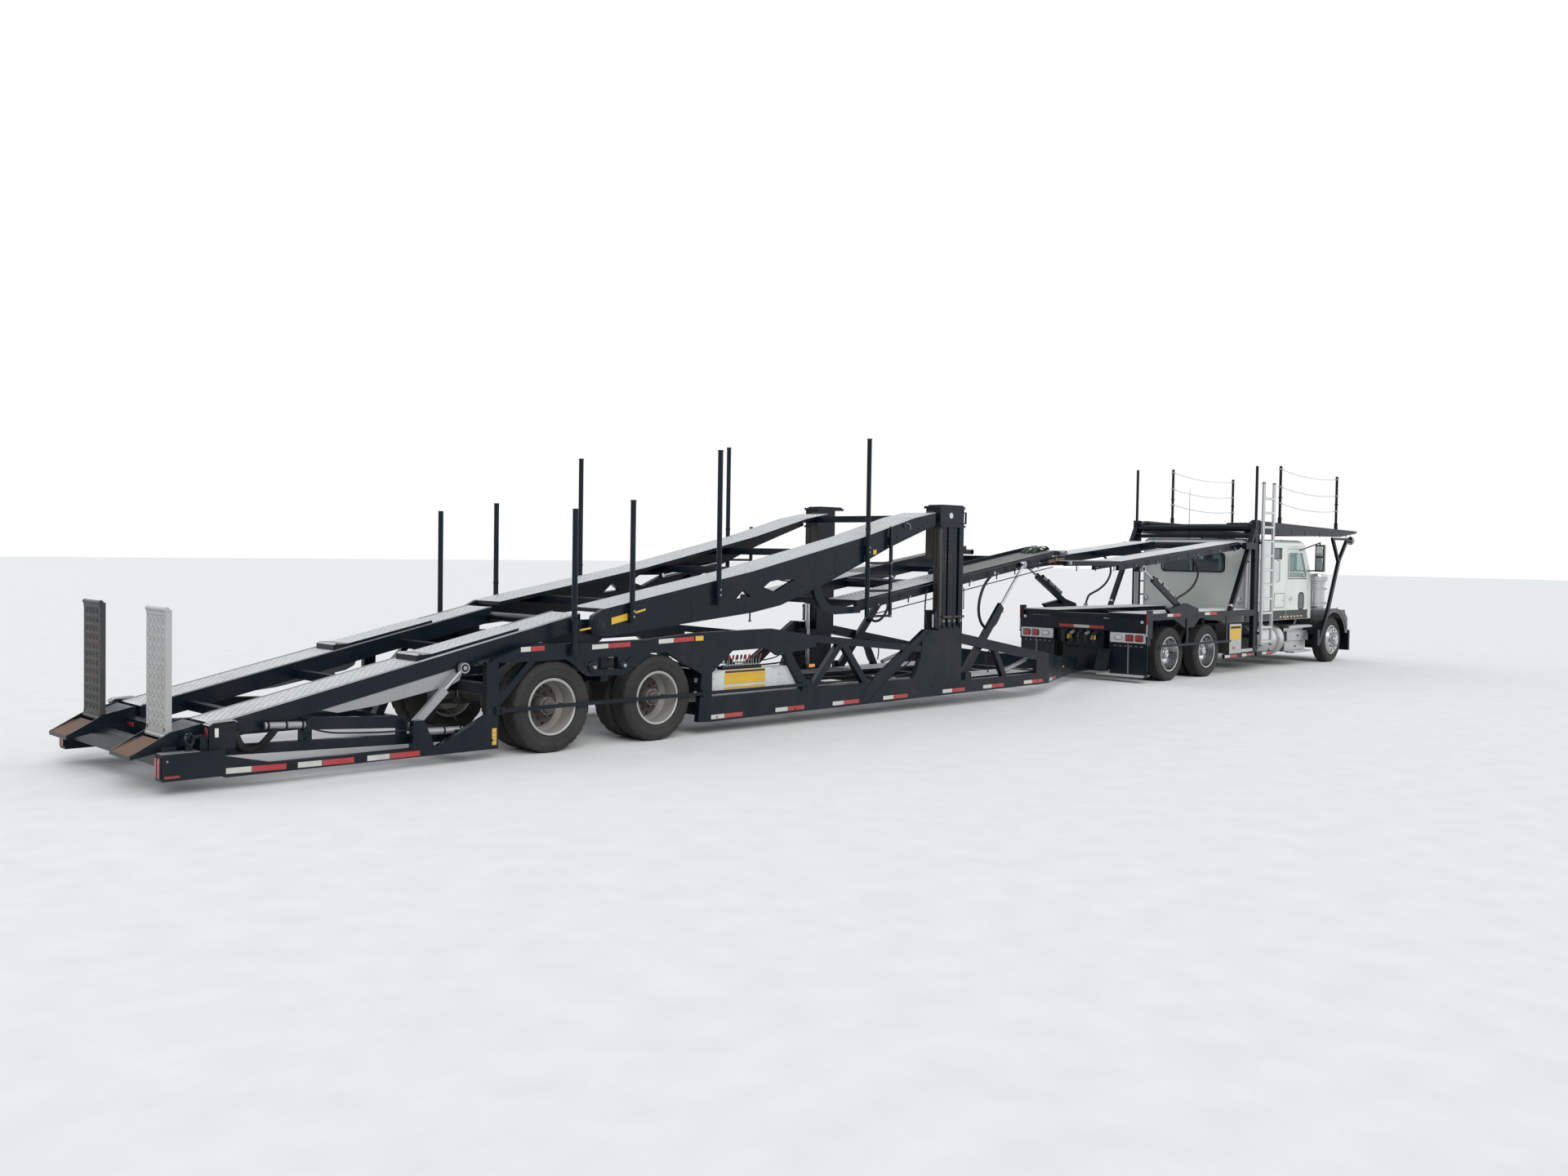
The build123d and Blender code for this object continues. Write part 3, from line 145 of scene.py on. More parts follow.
# Paint, bare edges, rust patches, rain streaks and road film, as masks over the piece
def build_weather():
    g, gi, go = group(
        "weather",
        [("Base", "NodeSocketColor", (0.5, 0.5, 0.5, 1)), ("Bare", "NodeSocketColor", (0.4, 0.4, 0.4, 1)),
         ("Dust", "NodeSocketColor", (0.35, 0.32, 0.27, 1)), ("Rust", "NodeSocketFloat", 0.3),
         ("Dirt", "NodeSocketFloat", 0.3), ("Chips", "NodeSocketFloat", 0.3), ("Grain", "NodeSocketFloat", 60.0)],
        [("Colour", "NodeSocketColor"), ("Roughness", "NodeSocketFloat"), ("Height", "NodeSocketFloat")],
    )
    link = g.links.new
    place = g.nodes.new("ShaderNodeTexCoord").outputs["Object"]
    big = noise(g, place, 1.7, 7.0, 0.62)
    fine = noise(g, place, gi.outputs["Grain"], 5.0)
    stretch = node(g, "ShaderNodeMapping")
    stretch.inputs["Scale"].default_value = (1.0, 1.0, 0.1)
    link(place, stretch.inputs["Vector"])
    streak = noise(g, stretch.outputs["Vector"], 5.0, 4.0, 0.5)
    # Rounded corners differ from the flat normal: those are the edges that wear first
    geo = g.nodes.new("ShaderNodeNewGeometry")
    bevel = node(g, "ShaderNodeBevel", samples=4)
    bevel.inputs["Radius"].default_value = 0.006
    dot = node(g, "ShaderNodeVectorMath", operation="DOT_PRODUCT")
    link(bevel.outputs["Normal"], dot.inputs[0])
    link(geo.outputs["Normal"], dot.inputs[1])
    edge = ramp(g, dot.outputs["Value"], 0.985, 0.8)
    chipped = maths(g, "MULTIPLY", edge, ramp(g, fine, 0.44, 0.62))
    spots = maths(g, "MULTIPLY", ramp(g, maths(g, "MULTIPLY", big, fine), 0.36, 0.46), 0.45)
    bare = maths(g, "MINIMUM", maths(g, "MULTIPLY", maths(g, "ADD", chipped, spots), gi.outputs["Chips"]), 1.0)
    patch = maths(g, "MULTIPLY", big, maths(g, "ADD", maths(g, "MULTIPLY", fine, 0.7),
        maths(g, "MULTIPLY", streak, 0.3)))
    rust = maths(g, "MULTIPLY", ramp(g, patch, 0.29, 0.42), gi.outputs["Rust"])
    spot = node(g, "ShaderNodeSeparateXYZ")
    link(geo.outputs["Position"], spot.inputs["Vector"])
    low = ramp(g, spot.outputs["Z"], 1.3, 0.0)
    film = maths(g, "MULTIPLY", maths(g, "ADD", low, 0.3), ramp(g, maths(g, "ADD", maths(g, "MULTIPLY", streak, 0.4),
        maths(g, "MULTIPLY", big, 0.6)), 0.38, 0.7))
    dirt = maths(g, "MINIMUM", maths(g, "MULTIPLY", film, gi.outputs["Dirt"]), 0.9)
    shade = node(g, "ShaderNodeHueSaturation")
    shade.inputs["Fac"].default_value = 0.5
    link(gi.outputs["Base"], shade.inputs["Color"])
    link(ramp(g, big, -0.6, 1.3), shade.inputs["Value"])
    worn = mix_colour(g, bare, shade.outputs["Color"], gi.outputs["Bare"])
    rusty = mix_colour(g, rust, worn, (0.13, 0.048, 0.022, 1))
    link(mix_colour(g, dirt, rusty, gi.outputs["Dust"]), go.inputs["Colour"])
    rough = maths(g, "ADD", maths(g, "MULTIPLY", fine, 0.2), maths(g, "MULTIPLY", maths(g, "MAXIMUM", rust, dirt),
        0.5))
    link(rough, go.inputs["Roughness"])
    link(maths(g, "SUBTRACT", maths(g, "MULTIPLY", fine, 0.3), maths(g, "MULTIPLY", bare, 0.5)), go.inputs["Height"])
    return g


# Small even cells, for honeycomb tape, lens prisms and woven webbing
def build_cells():
    g, gi, go = group("cells", [("Pitch", "NodeSocketFloat", 300.0)], [("Mask", "NodeSocketFloat")])
    place = g.nodes.new("ShaderNodeTexCoord").outputs["Object"]
    v = node(g, "ShaderNodeTexVoronoi", feature="DISTANCE_TO_EDGE")
    v.inputs["Randomness"].default_value = 0.15
    g.links.new(gi.outputs["Pitch"], v.inputs["Scale"])
    g.links.new(place, v.inputs["Vector"])
    g.links.new(ramp(g, v.outputs["Distance"], 0.02, 0.12), go.inputs["Mask"])
    return g


weather = build_weather()
cells = build_cells()


# rust, dirt and chips say how much of each there is; rough is the clean surface's own
def painted(name, base, rust, dirt, chips, rough, bare=(0.22, 0.21, 0.2), dust=(0.16, 0.15, 0.13), grain=60.0,
        metal=0.0, coat=0.0, bump=0.25, spec=0.5):
    m = bpy.data.materials.new(name)
    m.use_nodes = True
    t = m.node_tree
    bsdf = t.nodes["Principled BSDF"]
    w = node(t, "ShaderNodeGroup", node_tree=weather)
    for label, colour in (("Base", base), ("Bare", bare), ("Dust", dust)):
        w.inputs[label].default_value = (*colour, 1)
    for label, value in (("Rust", rust), ("Dirt", dirt), ("Chips", chips), ("Grain", grain)):
        w.inputs[label].default_value = value
    t.links.new(w.outputs["Colour"], bsdf.inputs["Base Color"])
    t.links.new(maths(t, "ADD", w.outputs["Roughness"], rough - 0.1), bsdf.inputs["Roughness"])
    bsdf.inputs["Metallic"].default_value = metal
    bsdf.inputs["Coat Weight"].default_value = coat
    bsdf.inputs["Specular IOR Level"].default_value = spec
    b = node(t, "ShaderNodeBump")
    b.inputs["Strength"].default_value = bump
    b.inputs["Distance"].default_value = 0.002
    t.links.new(w.outputs["Height"], b.inputs["Height"])
    t.links.new(b.outputs["Normal"], bsdf.inputs["Normal"])
    return m


# Paint with fine cells pressed into it
def celled(name, base, pitch, depth, *wear, **values):
    m = painted(name, base, *wear, **values)
    t = m.node_tree
    c = node(t, "ShaderNodeGroup", node_tree=cells)
    c.inputs["Pitch"].default_value = pitch
    b = node(t, "ShaderNodeBump")
    b.inputs["Strength"].default_value = 0.6
    b.inputs["Distance"].default_value = depth
    t.links.new(c.outputs["Mask"], b.inputs["Height"])
    old = t.nodes["Principled BSDF"].inputs["Normal"].links[0].from_socket
    t.links.new(old, b.inputs["Normal"])
    t.links.new(b.outputs["Normal"], t.nodes["Principled BSDF"].inputs["Normal"])
    return m


def glassy(name, tint, rough, clear=0.92):
    m = bpy.data.materials.new(name)
    m.use_nodes = True
    t = m.node_tree
    bsdf = t.nodes["Principled BSDF"]
    bsdf.inputs["Base Color"].default_value = (*tint, 1)
    bsdf.inputs["Transmission Weight"].default_value = clear
    bsdf.inputs["IOR"].default_value = 1.45
    place = t.nodes.new("ShaderNodeTexCoord").outputs["Object"]
    smear = maths(t, "MULTIPLY", noise(t, place, 7.0, 3.0), 0.08)
    t.links.new(maths(t, "ADD", smear, rough), bsdf.inputs["Roughness"])
    return m


NAVY = (0.0034, 0.009, 0.015)
MAT = {name: painted(name, base, *wear, **more) for name, base, wear, more in (
    ("structure_paint", NAVY, (0.1, 0.24, 0.18, 0.25),
        dict(bare=(0.1, 0.095, 0.09), dust=(0.032, 0.034, 0.036), spec=0.22)),
    ("deck_paint", NAVY, (0.15, 0.2, 0.26, 0.26),
        dict(bare=(0.13, 0.125, 0.12), dust=(0.032, 0.034, 0.036), spec=0.22)),
    ("rack_paint", (0.0034, 0.007, 0.011), (0.08, 0.12, 0.18, 0.28),
        dict(bare=(0.1, 0.095, 0.09), dust=(0.05, 0.05, 0.05), spec=0.22)),
    ("cab_paint", (0.66, 0.7, 0.67), (0.03, 0.35, 0.1, 0.22),
        dict(bare=(0.5, 0.52, 0.5), dust=(0.42, 0.41, 0.37), coat=0.4, bump=0.05)),
    ("tyre_rubber", (0.016, 0.016, 0.017), (0.0, 0.6, 0.2, 0.62),
        dict(bare=(0.03, 0.03, 0.03), dust=(0.055, 0.052, 0.047), bump=0.4, spec=0.3)),
    ("polished_rim", (0.72, 0.73, 0.74), (0.0, 0.3, 0.1, 0.18),
        dict(bare=(0.55, 0.55, 0.55), dust=(0.2, 0.18, 0.15), metal=1.0, bump=0.05)),
    ("axle_steel", (0.014, 0.014, 0.016), (0.4, 0.4, 0.2, 0.5), dict()),
    ("engine_iron", (0.1, 0.1, 0.1), (0.3, 0.5, 0.2, 0.5), dict()),
    ("rod_chrome", (0.72, 0.73, 0.75), (0.02, 0.1, 0.0, 0.14), dict(metal=1.0, bump=0.02)),
    ("bright_metal", (0.66, 0.67, 0.67), (0.0, 0.35, 0.1, 0.26), dict(dust=(0.25, 0.23, 0.2), metal=1.0, bump=0.08)),
    ("ramp_paint", (0.02, 0.022, 0.024), (0.5, 0.3, 0.5, 0.45), dict(bare=(0.2, 0.2, 0.2))),
    ("cabin_trim", (0.06, 0.063, 0.066), (0.0, 0.2, 0.0, 0.6), dict()),
    ("box_paint", (0.62, 0.65, 0.66), (0.15, 0.45, 0.3, 0.3), dict()),
    ("mirror_shell", (0.02, 0.02, 0.022), (0.0, 0.15, 0.1, 0.25), dict()),
)}
MAT["clear_glass"] = glassy("clear_glass", (0.72, 0.86, 0.83), 0.03)
PAINT, DECK, RACK, CAB_PAINT = (MAT[slot] for slot in ("structure_paint", "deck_paint", "rack_paint", "cab_paint"))
TYRE, POLISHED, AXLE, CHROME = (MAT[slot] for slot in ("tyre_rubber", "polished_rim", "axle_steel", "rod_chrome"))
BRIGHT, RAMP, BOX_PAINT = (MAT[slot] for slot in ("bright_metal", "ramp_paint", "box_paint"))
TREAD = painted("worn_tread_plate", (0.71, 0.73, 0.73), 0.2, 0.6, 0.8, 0.42, bare=(0.84, 0.85, 0.85),
    dust=(0.32, 0.3, 0.27), grain=35.0, metal=0.55)
# Tread plate painted darker, as painted shade, for the runs that lie in shade
TREAD_SHADED = painted("shaded_tread_plate", (0.24, 0.24, 0.23), 0.4, 0.6, 0.5, 0.5, bare=(0.5, 0.5, 0.5),
    dust=(0.1, 0.09, 0.08), grain=35.0, metal=0.4)
# Near black: painted shade that fills the punched holes and slots
HOLE_SHADOW = painted("punched_hole_shadow", (0.012, 0.013, 0.015), 0.1, 0.1, 0.0, 0.7, bump=0.1, spec=0.2)
GALV = painted("galvanised_sheet", (0.42, 0.43, 0.44), 0.15, 0.6, 0.4, 0.38, bare=(0.6, 0.6, 0.6),
    dust=(0.22, 0.2, 0.17), metal=0.7)
SILVER = painted("silver_ramp_paint", (0.46, 0.47, 0.47), 0.22, 0.5, 0.6, 0.4, bare=(0.65, 0.65, 0.64),
    dust=(0.28, 0.25, 0.2), metal=0.35)
RUSTY = painted("rusted_plate", (0.13, 0.065, 0.035), 0.9, 0.5, 0.6, 0.7, bare=(0.25, 0.18, 0.13),
    dust=(0.2, 0.14, 0.09), grain=30.0, bump=0.6)
BROWN = painted("greased_channel", (0.022, 0.019, 0.017), 0.8, 0.8, 0.5, 0.42, bare=(0.06, 0.045, 0.035),
    dust=(0.07, 0.05, 0.035), grain=30.0)
STEEL_RIM = painted("silver_steel_rim", (0.5, 0.49, 0.46), 0.12, 0.8, 0.3, 0.4, bare=(0.6, 0.58, 0.55),
    dust=(0.24, 0.22, 0.19), metal=0.25)
GRIME = painted("hub_grime", (0.085, 0.078, 0.07), 0.5, 0.5, 0.3, 0.6, bare=(0.22, 0.2, 0.18),
    dust=(0.1, 0.09, 0.075))
RED_TAPE = celled("red_reflective_tape", (0.42, 0.018, 0.022), 260.0, 0.0006, 0.0, 0.3, 0.15, 0.25)
WHITE_TAPE = celled("white_reflective_tape", (0.62, 0.62, 0.58), 260.0, 0.0006, 0.02, 0.45, 0.15, 0.25)
YELLOW = painted("yellow_sticker", (0.72, 0.43, 0.015), 0.0, 0.35, 0.25, 0.3, bare=(0.5, 0.4, 0.2), bump=0.05)
RED_LENS = celled("red_lens", (0.3, 0.006, 0.008), 120.0, 0.001, 0.0, 0.12, 0.0, 0.1, coat=0.6)
AMBER_LENS = celled("amber_lens", (0.9, 0.3, 0.03), 140.0, 0.001, 0.0, 0.12, 0.0, 0.12, coat=0.6)
CLEAR_LENS = celled("clear_lens", (0.7, 0.72, 0.7), 110.0, 0.001, 0.0, 0.15, 0.0, 0.08, coat=0.6)
RUBBER = painted("black_rubber", (0.01, 0.01, 0.011), 0.0, 0.3, 0.1, 0.5, bare=(0.03, 0.03, 0.03),
    dust=(0.04, 0.039, 0.037), spec=0.35)
RED_GRIP = painted("red_grip", (0.3, 0.012, 0.012), 0.0, 0.3, 0.2, 0.35)
WEBBING = celled("green_webbing", (0.012, 0.035, 0.026), 420.0, 0.0012, 0.0, 0.4, 0.3, 0.75, bare=(0.05, 0.07, 0.05),
    bump=0.5)
MIRROR = painted("mirror_glass", (0.8, 0.83, 0.85), 0.0, 0.05, 0.0, 0.12, metal=1.0, bump=0.0)
SILL_GREY = painted("sill_grey", (0.09, 0.098, 0.125), 0.2, 0.35, 0.5, 0.4, bare=(0.25, 0.25, 0.26))
ALLOY = painted("ladder_alloy", (0.66, 0.67, 0.67), 0.0, 0.35, 0.3, 0.34, bare=(0.8, 0.8, 0.8),
    dust=(0.3, 0.28, 0.25), metal=0.35)
RED_LEAD = painted("red_lead_stain", (0.05, 0.01, 0.01), 0.8, 0.4, 0.5, 0.5, grain=25.0)
BLACK_TRIM = painted("black_trim", (0.01, 0.011, 0.013), 0.0, 0.25, 0.1, 0.4)


# Bonnet: its wings, further out than the edge, are black
def build_outboard():
    g, gi, go = group("outboard", [("Edge", "NodeSocketFloat", 0.6)], [("Mask", "NodeSocketFloat")])
    spot = node(g, "ShaderNodeSeparateXYZ")
    g.links.new(g.nodes.new("ShaderNodeNewGeometry").outputs["Position"], spot.inputs["Vector"])
    away = maths(g, "SUBTRACT", maths(g, "ABSOLUTE", spot.outputs["Y"]), gi.outputs["Edge"])
    g.links.new(ramp(g, away, 0.0, 0.004), go.inputs["Mask"])
    return g


def winged(name, edge, wing, base, *wear, **values):
    m = painted(name, base, *wear, **values)
    t = m.node_tree
    side = node(t, "ShaderNodeGroup", node_tree=build_outboard())
    side.inputs["Edge"].default_value = edge
    inner = t.nodes["Principled BSDF"].inputs["Base Color"].links[0].from_socket
    outer = node(t, "ShaderNodeGroup", node_tree=weather)
    for label, colour in (("Base", wing), ("Bare", (0.05, 0.05, 0.05)), ("Dust", (0.07, 0.07, 0.065))):
        outer.inputs[label].default_value = (*colour, 1)
    t.links.new(mix_colour(t, side.outputs["Mask"], inner, outer.outputs["Colour"]),
        t.nodes["Principled BSDF"].inputs["Base Color"])
    return m


BONNET = winged("bonnet_paint", 0.645, (0.006, 0.007, 0.008), (0.66, 0.7, 0.67), 0.03, 0.3, 0.1, 0.24,
    bare=(0.5, 0.52, 0.5), dust=(0.42, 0.41, 0.37), coat=0.4, bump=0.05)
DARK_GLASS = glassy("dark_glass", (0.22, 0.29, 0.3), 0.03)
LOW_WINDOW = glassy("low_window", (0.1, 0.12, 0.13), 0.03, 0.4)

# ---------- CAD nodes keep their shape and take the materials ----------
NODE_FINISH = {"flip_ramp_right": SILVER, "tail_lift_barrels": GALV, "tail_lift_rods": GALV, "bonnet": BONNET,
    "cab_glass": DARK_GLASS, "truck_lift_barrels": PAINT}
for number in ("rear", "front"):
    for tag in ("left", "right"):
        NODE_FINISH[f"trailer_{number}_{tag}_rims"] = STEEL_RIM
for entry in frame["record"]["subparts"]:
    obj = frame["nodes"][entry["node"]]
    for s in obj.material_slots:
        s.material = NODE_FINISH.get(entry["node"], MAT[entry["material_slot"]])


# ---------- mesh tools ----------
def curve_through(points, steps):
    """A quadratic B-spline that starts and ends at its first and last point."""
    p = [Vector(q) for q in points]
    ends = [p[0]] + [(a + b) / 2 for a, b in zip(p[1:-2], p[2:-1])] + [p[-1]]
    line = [p[0]]
    for k in range(len(ends) - 1):
        a, m, b = ends[k], p[k + 1], ends[k + 1]
        for i in range(1, steps + 1):
            t = i / steps
            line.append(a * (1 - t) ** 2 + m * 2 * t * (1 - t) + b * t * t)
    return line


def circle(r, count, cx=0.0, cy=0.0):
    return [(cx + r * cos(2 * pi * k / count), cy + r * sin(2 * pi * k / count)) for k in range(count)]


def oval(wide, tall, count, power=1.0):
    """Points round an oval with these half widths; a power under 1 fills its corners out."""
    turns = (2 * pi * q / count for q in range(count))
    return [(wide * copysign(abs(cos(a)) ** power, cos(a)), tall * copysign(abs(sin(a)) ** power, sin(a)))
        for a in turns]


def ring_faces(rings, count, closed=False):
    """Faces between rings of count points each; in a closed set the last ring joins the first."""
    near = [(count * r, count * ((r + 1) % rings)) for r in range(rings if closed else rings - 1)]
    return [[a + q, a + (q + 1) % count, b + (q + 1) % count, b + q] for a, b in near for q in range(count)]


class Piece:
    """Small shapes gathered into one mesh, which rides on one body."""

    def __init__(self, name, body=None, slot=None):
        self.name, self.body, self.slot = name, body, slot
        self.verts, self.faces, self.finishes, self.marks = [], [], {}, []
        self.turn = Matrix.Identity(4)
        self.side = 1

    # First the left side, then the right one: meanwhile every y counts outward from the middle plane
    def sides(self):
        for self.side in BOTH:
            yield self.side
        self.side = 1

    def outward(self, p):
        return Vector((p[0], self.side * p[1], p[2]))

    # One finish for all the faces, or a list with one for each
    def add(self, verts, faces, finish):
        base = len(self.verts)
        self.verts += [self.turn @ Vector(v) for v in verts]
        self.faces += [[base + i for i in f] for f in faces]
        each = finish if isinstance(finish, list) else [finish] * len(faces)
        self.marks += [self.finishes.setdefault(f, len(self.finishes)) for f in each]

    # A box with its edges taken off
    def box(self, x, y, z, finish, edge=0.002):
        y = [self.side * v for v in y]
        lo = [min(q) for q in (x, y, z)]
        hi = [max(q) for q in (x, y, z)]
        e = min(edge, 0.3 * min(h - l for l, h in zip(lo, hi)))
        ends = (lo, hi)
        at, verts, faces = {}, [], []
        corners = [(i, j, k) for i in (0, 1) for j in (0, 1) for k in (0, 1)]
        for axis in range(3):
            for c in corners:
                at[axis, c] = len(verts)
                verts.append([ends[c[d]][d] + (0 if d == axis else (e, -e)[c[d]]) for d in range(3)])
        for a in range(3):
            b, c = (a + 1) % 3, (a + 2) % 3

            def corner(sa, sb, sc):
                key = [0, 0, 0]
                key[a], key[b], key[c] = sa, sb, sc
                return tuple(key)

            for s in (0, 1):
                faces.append([at[a, corner(s, i, j)] for i, j in ((0, 0), (1, 0), (1, 1), (0, 1))])
                for i in (0, 1):
                    k0, k1 = corner(s, i, 0), corner(s, i, 1)
                    faces.append([at[a, k0], at[a, k1], at[b, k1], at[b, k0]])
        faces += [[at[0, c], at[1, c], at[2, c]] for c in corners]
        self.add(verts, faces, finish)

    # Turned shape: profile points are (radius, height) along the axis from origin
    def lathe(self, origin, axis, profile, count, finish, closed=False):
        n = self.outward(axis).normalized()
        u = n.orthogonal().normalized()
        v = n.cross(u)
        o = self.outward(origin)
        verts, faces, rings, finishes = [], [], [], []
        for r, h in profile:
            if r < 1e-6:
                rings.append([len(verts)])
                verts.append(o + n * h)
                continue
            rings.append(list(range(len(verts), len(verts) + count)))
            for k in range(count):
                a = 2 * pi * k / count
                verts.append(o + n * h + (u * cos(a) + v * sin(a)) * r)
        pairs = list(zip(rings, rings[1:])) + ([(rings[-1], rings[0])] if closed else [])
        for i, (a, b) in enumerate(pairs):
            shade = finish[i] if isinstance(finish, list) else finish
            for k in range(count):
                m = (k + 1) % count
                face = [a[k % len(a)], a[m % len(a)], b[m % len(b)], b[k % len(b)]]
                face = [q for j, q in enumerate(face) if q not in face[:j]]
                if len(face) > 2:
                    faces.append(face)
                    finishes.append(shade)
        self.add(verts, faces, finishes)

    # Turned shape whose two ends are closed by flat discs
    def cap(self, origin, axis, profile, count, finish):
        self.lathe(origin, axis, [(0, profile[0][1]), *profile, (0, profile[-1][1])], count, finish)

    def disc(self, origin, axis, r, high, count, finish):
        self.cap(origin, axis, [(r, 0), (r, high)], count, finish)

    def tube(self, p0, p1, r, count, finish, r1=None):
        a, b = Vector(p0), Vector(p1)
        run = (b - a).length
        r1 = r if r1 is None else r1
        e = min(r, r1) * 0.12
        self.cap(a, b - a, [(r - e, 0), (r, e), (r1, run - e), (r1 - e, run)], count, finish)

    def bolt(self, p, axis, r, high, finish):
        a, n = Vector(p), Vector(axis).normalized()
        self.disc(a, n, r * 1.5, high * 0.25, 12, finish)
        self.cap(a, n, [(r, 0), (r, high * 0.85), (r * 0.82, high)], 6, finish)

    def bolts(self, spots, y, r, high, finish):
        for x, z in spots:
            self.bolt((x, y, z), OUT, r, high, finish)

    # Four bars round a rectangle in the X-Z plane: the upright ones are wide, the level ones tall
    def surround(self, x, y, z, wide, tall, finish, edge):
        for level in ((z[0], z[0] + tall), (z[1] - tall, z[1])):
            self.box(x, y, level, finish, edge)
        for upright in ((x[0], x[0] + wide), (x[1] - wide, x[1])):
            self.box(upright, y, (z[0] + tall, z[1] - tall), finish, edge)

    # Outline in the X-Z plane pulled across from y0 to y1
    def plate(self, points, y0, y1, finish):
        n = len(points)
        y0, y1 = self.side * y0, self.side * y1
        verts = [(x, y0, z) for x, z in points] + [(x, y1, z) for x, z in points]
        faces = [list(range(n)), list(range(2 * n - 1, n - 1, -1))]
        faces += [[k, (k + 1) % n, n + (k + 1) % n, n + k] for k in range(n)]
        self.add(verts, faces, finish)

    # Hose or rod along a smooth line; ribs make it corrugated
    def pipe(self, points, r, count, finish, steps=8, ribs=0.0, straight=False):
        points = [self.outward(p) for p in points]
        line = points if straight else curve_through(points, steps)
        verts = []
        up = Vector((0.13, 0.31, 0.94))
        for i, p in enumerate(line):
            ahead = (line[min(i + 1, len(line) - 1)] - line[max(i - 1, 0)]).normalized()
            side = ahead.cross(up).normalized()
            lift = side.cross(ahead)
            here = r * (1 - ribs * (i % 2))
            for k in range(count):
                a = 2 * pi * k / count
                verts.append(p + (side * cos(a) + lift * sin(a)) * here)
        last = (len(line) - 1) * count
        faces = ring_faces(len(line), count) + [list(range(count)), [last + k for k in range(count)][::-1]]
        self.add(verts, faces, finish)

    # Flat ribbon of webbing along a line, w wide across Y and t thick
    def ribbon(self, points, w, t, finish):
        line = curve_through(points, 6)
        across = Vector((0, w / 2, 0))
        verts = []
        for i, p in enumerate(line):
            ahead = (line[min(i + 1, len(line) - 1)] - line[max(i - 1, 0)]).normalized()
            lift = ahead.cross(across).normalized() * t / 2
            verts += [p + across + lift, p - across + lift, p - across - lift, p + across - lift]
        last = 4 * (len(line) - 1)
        faces = ring_faces(len(line), 4) + [[0, 1, 2, 3], [last + 3, last + 2, last + 1, last]]
        self.add(verts, faces, finish)

    # Flat plate with holes: loops are (u, v) lists, set in the plane through origin with normal n
    def sheet_with_holes(self, origin, n, outer, holes, thick, finish):
        n = Vector(n).normalized()
        u = n.orthogonal().normalized()
        v = n.cross(u)
        o = Vector(origin)
        loops = [outer] + [h[::-1] for h in holes]
        flat = [[Vector((a, b, 0)) for a, b in loop] for loop in loops]
        points = [q for loop in flat for q in loop]
        count = len(points)
        verts = [o + u * q.x + v * q.y for q in points] + [o + u * q.x + v * q.y + n * thick for q in points]
        faces = [list(f) for f in tessellate_polygon(flat)]
        faces += [[i + count for i in f][::-1] for f in faces]
        base = 0
        for loop in loops:
            m = len(loop)
            faces += [[base + k, base + (k + 1) % m, count + base + (k + 1) % m, count + base + k] for k in range(m)]
            base += m
        self.add(verts, faces, finish)

    # Tread plate laid on a runway from (x0, z0) to (x1, z1): a skin with rows of punched, raised holes
    def tread(self, x0, z0, x1, z1, y0, y1, plate=TREAD, hole=HOLE_SHADOW, pitch=0.078, gap=0.047):
        run = hypot(x1 - x0, z1 - z0)
        y0, y1 = self.side * y0, self.side * y1
        keep, side, self.side = self.turn, self.side, 1
        ahead = Vector(((x1 - x0) / run, 0, (z1 - z0) / run))
        axes = Matrix((ahead, (0, 1, 0), (-ahead.z, 0, ahead.x))).transposed().to_4x4()
        self.turn = keep @ Matrix.Translation((x0, 0, z0)) @ axes
        self.box((0.004, run - 0.002), (y0 + 0.003, y1 - 0.003), (-0.001, SKIN), plate)
        rows = int((run - 0.06) / pitch)
        cols = int((abs(y1 - y0) - 0.05) / gap)
        mid = (y0 + y1) / 2
        for i in range(rows):
            u = run / 2 + (i - (rows - 1) / 2) * pitch
            for j in range(cols):
                v = mid + (j - (cols - 1) / 2) * gap
                self.cell(u + (pitch / 4 if j % 2 else -pitch / 4), v, plate, hole)
        self.turn, self.side = keep, side

    # One raised hole; its opening is shut by a dark disc of painted shade
    def cell(self, u, v, plate, hole):
        verts = []
        for long, wide, high in ((0.026, 0.017, -0.0005), (0.02, 0.0125, 0.006), (0.015, 0.0085, 0.0045)):
            verts += [(u + a, v + b, SKIN + high) for a, b in oval(long, wide, 6)]
        faces = ring_faces(3, 6) + [[12, 13, 14, 15, 16, 17], [5, 4, 3, 2, 1, 0]]
        self.add(verts, faces, [plate] * 12 + [hole, plate])

    # Red and white tape on an upright side face
    def tape(self, x0, x1, z0, z1):
        cut = x0 + (x1 - x0) * TAPE_SPLIT
        rise = (z1 - z0) / (x1 - x0)
        for a, b, finish in ((x0, cut - 0.002, WHITE_TAPE), (cut + 0.002, x1, RED_TAPE)):
            za, zb = z0 + (a - x0) * rise, z0 + (b - x0) * rise
            self.plate([(a, za), (b, zb), (b, zb + TAPE_HIGH), (a, za + TAPE_HIGH)], *TAPE_Y, finish)

    def done(self, smooth=40.0):
        mesh = bpy.data.meshes.new(self.name)
        mesh.from_pydata([v + Vector((AX, 0, 0)) for v in self.verts], [], self.faces)
        for finish in self.finishes:
            mesh.materials.append(finish)
        mesh.polygons.foreach_set("material_index", self.marks)
        bm = bmesh.new()
        bm.from_mesh(mesh)
        bmesh.ops.recalc_face_normals(bm, faces=bm.faces)
        bm.to_mesh(mesh)
        bm.free()
        mesh.polygons.foreach_set("use_smooth", [True] * len(mesh.polygons))
        mesh.set_sharp_from_angle(angle=radians(smooth))
        piece = bpy.data.objects.new(self.name, mesh)
        bpy.context.scene.collection.objects.link(piece)
        if self.body:
            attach(piece, self.body)
        return piece


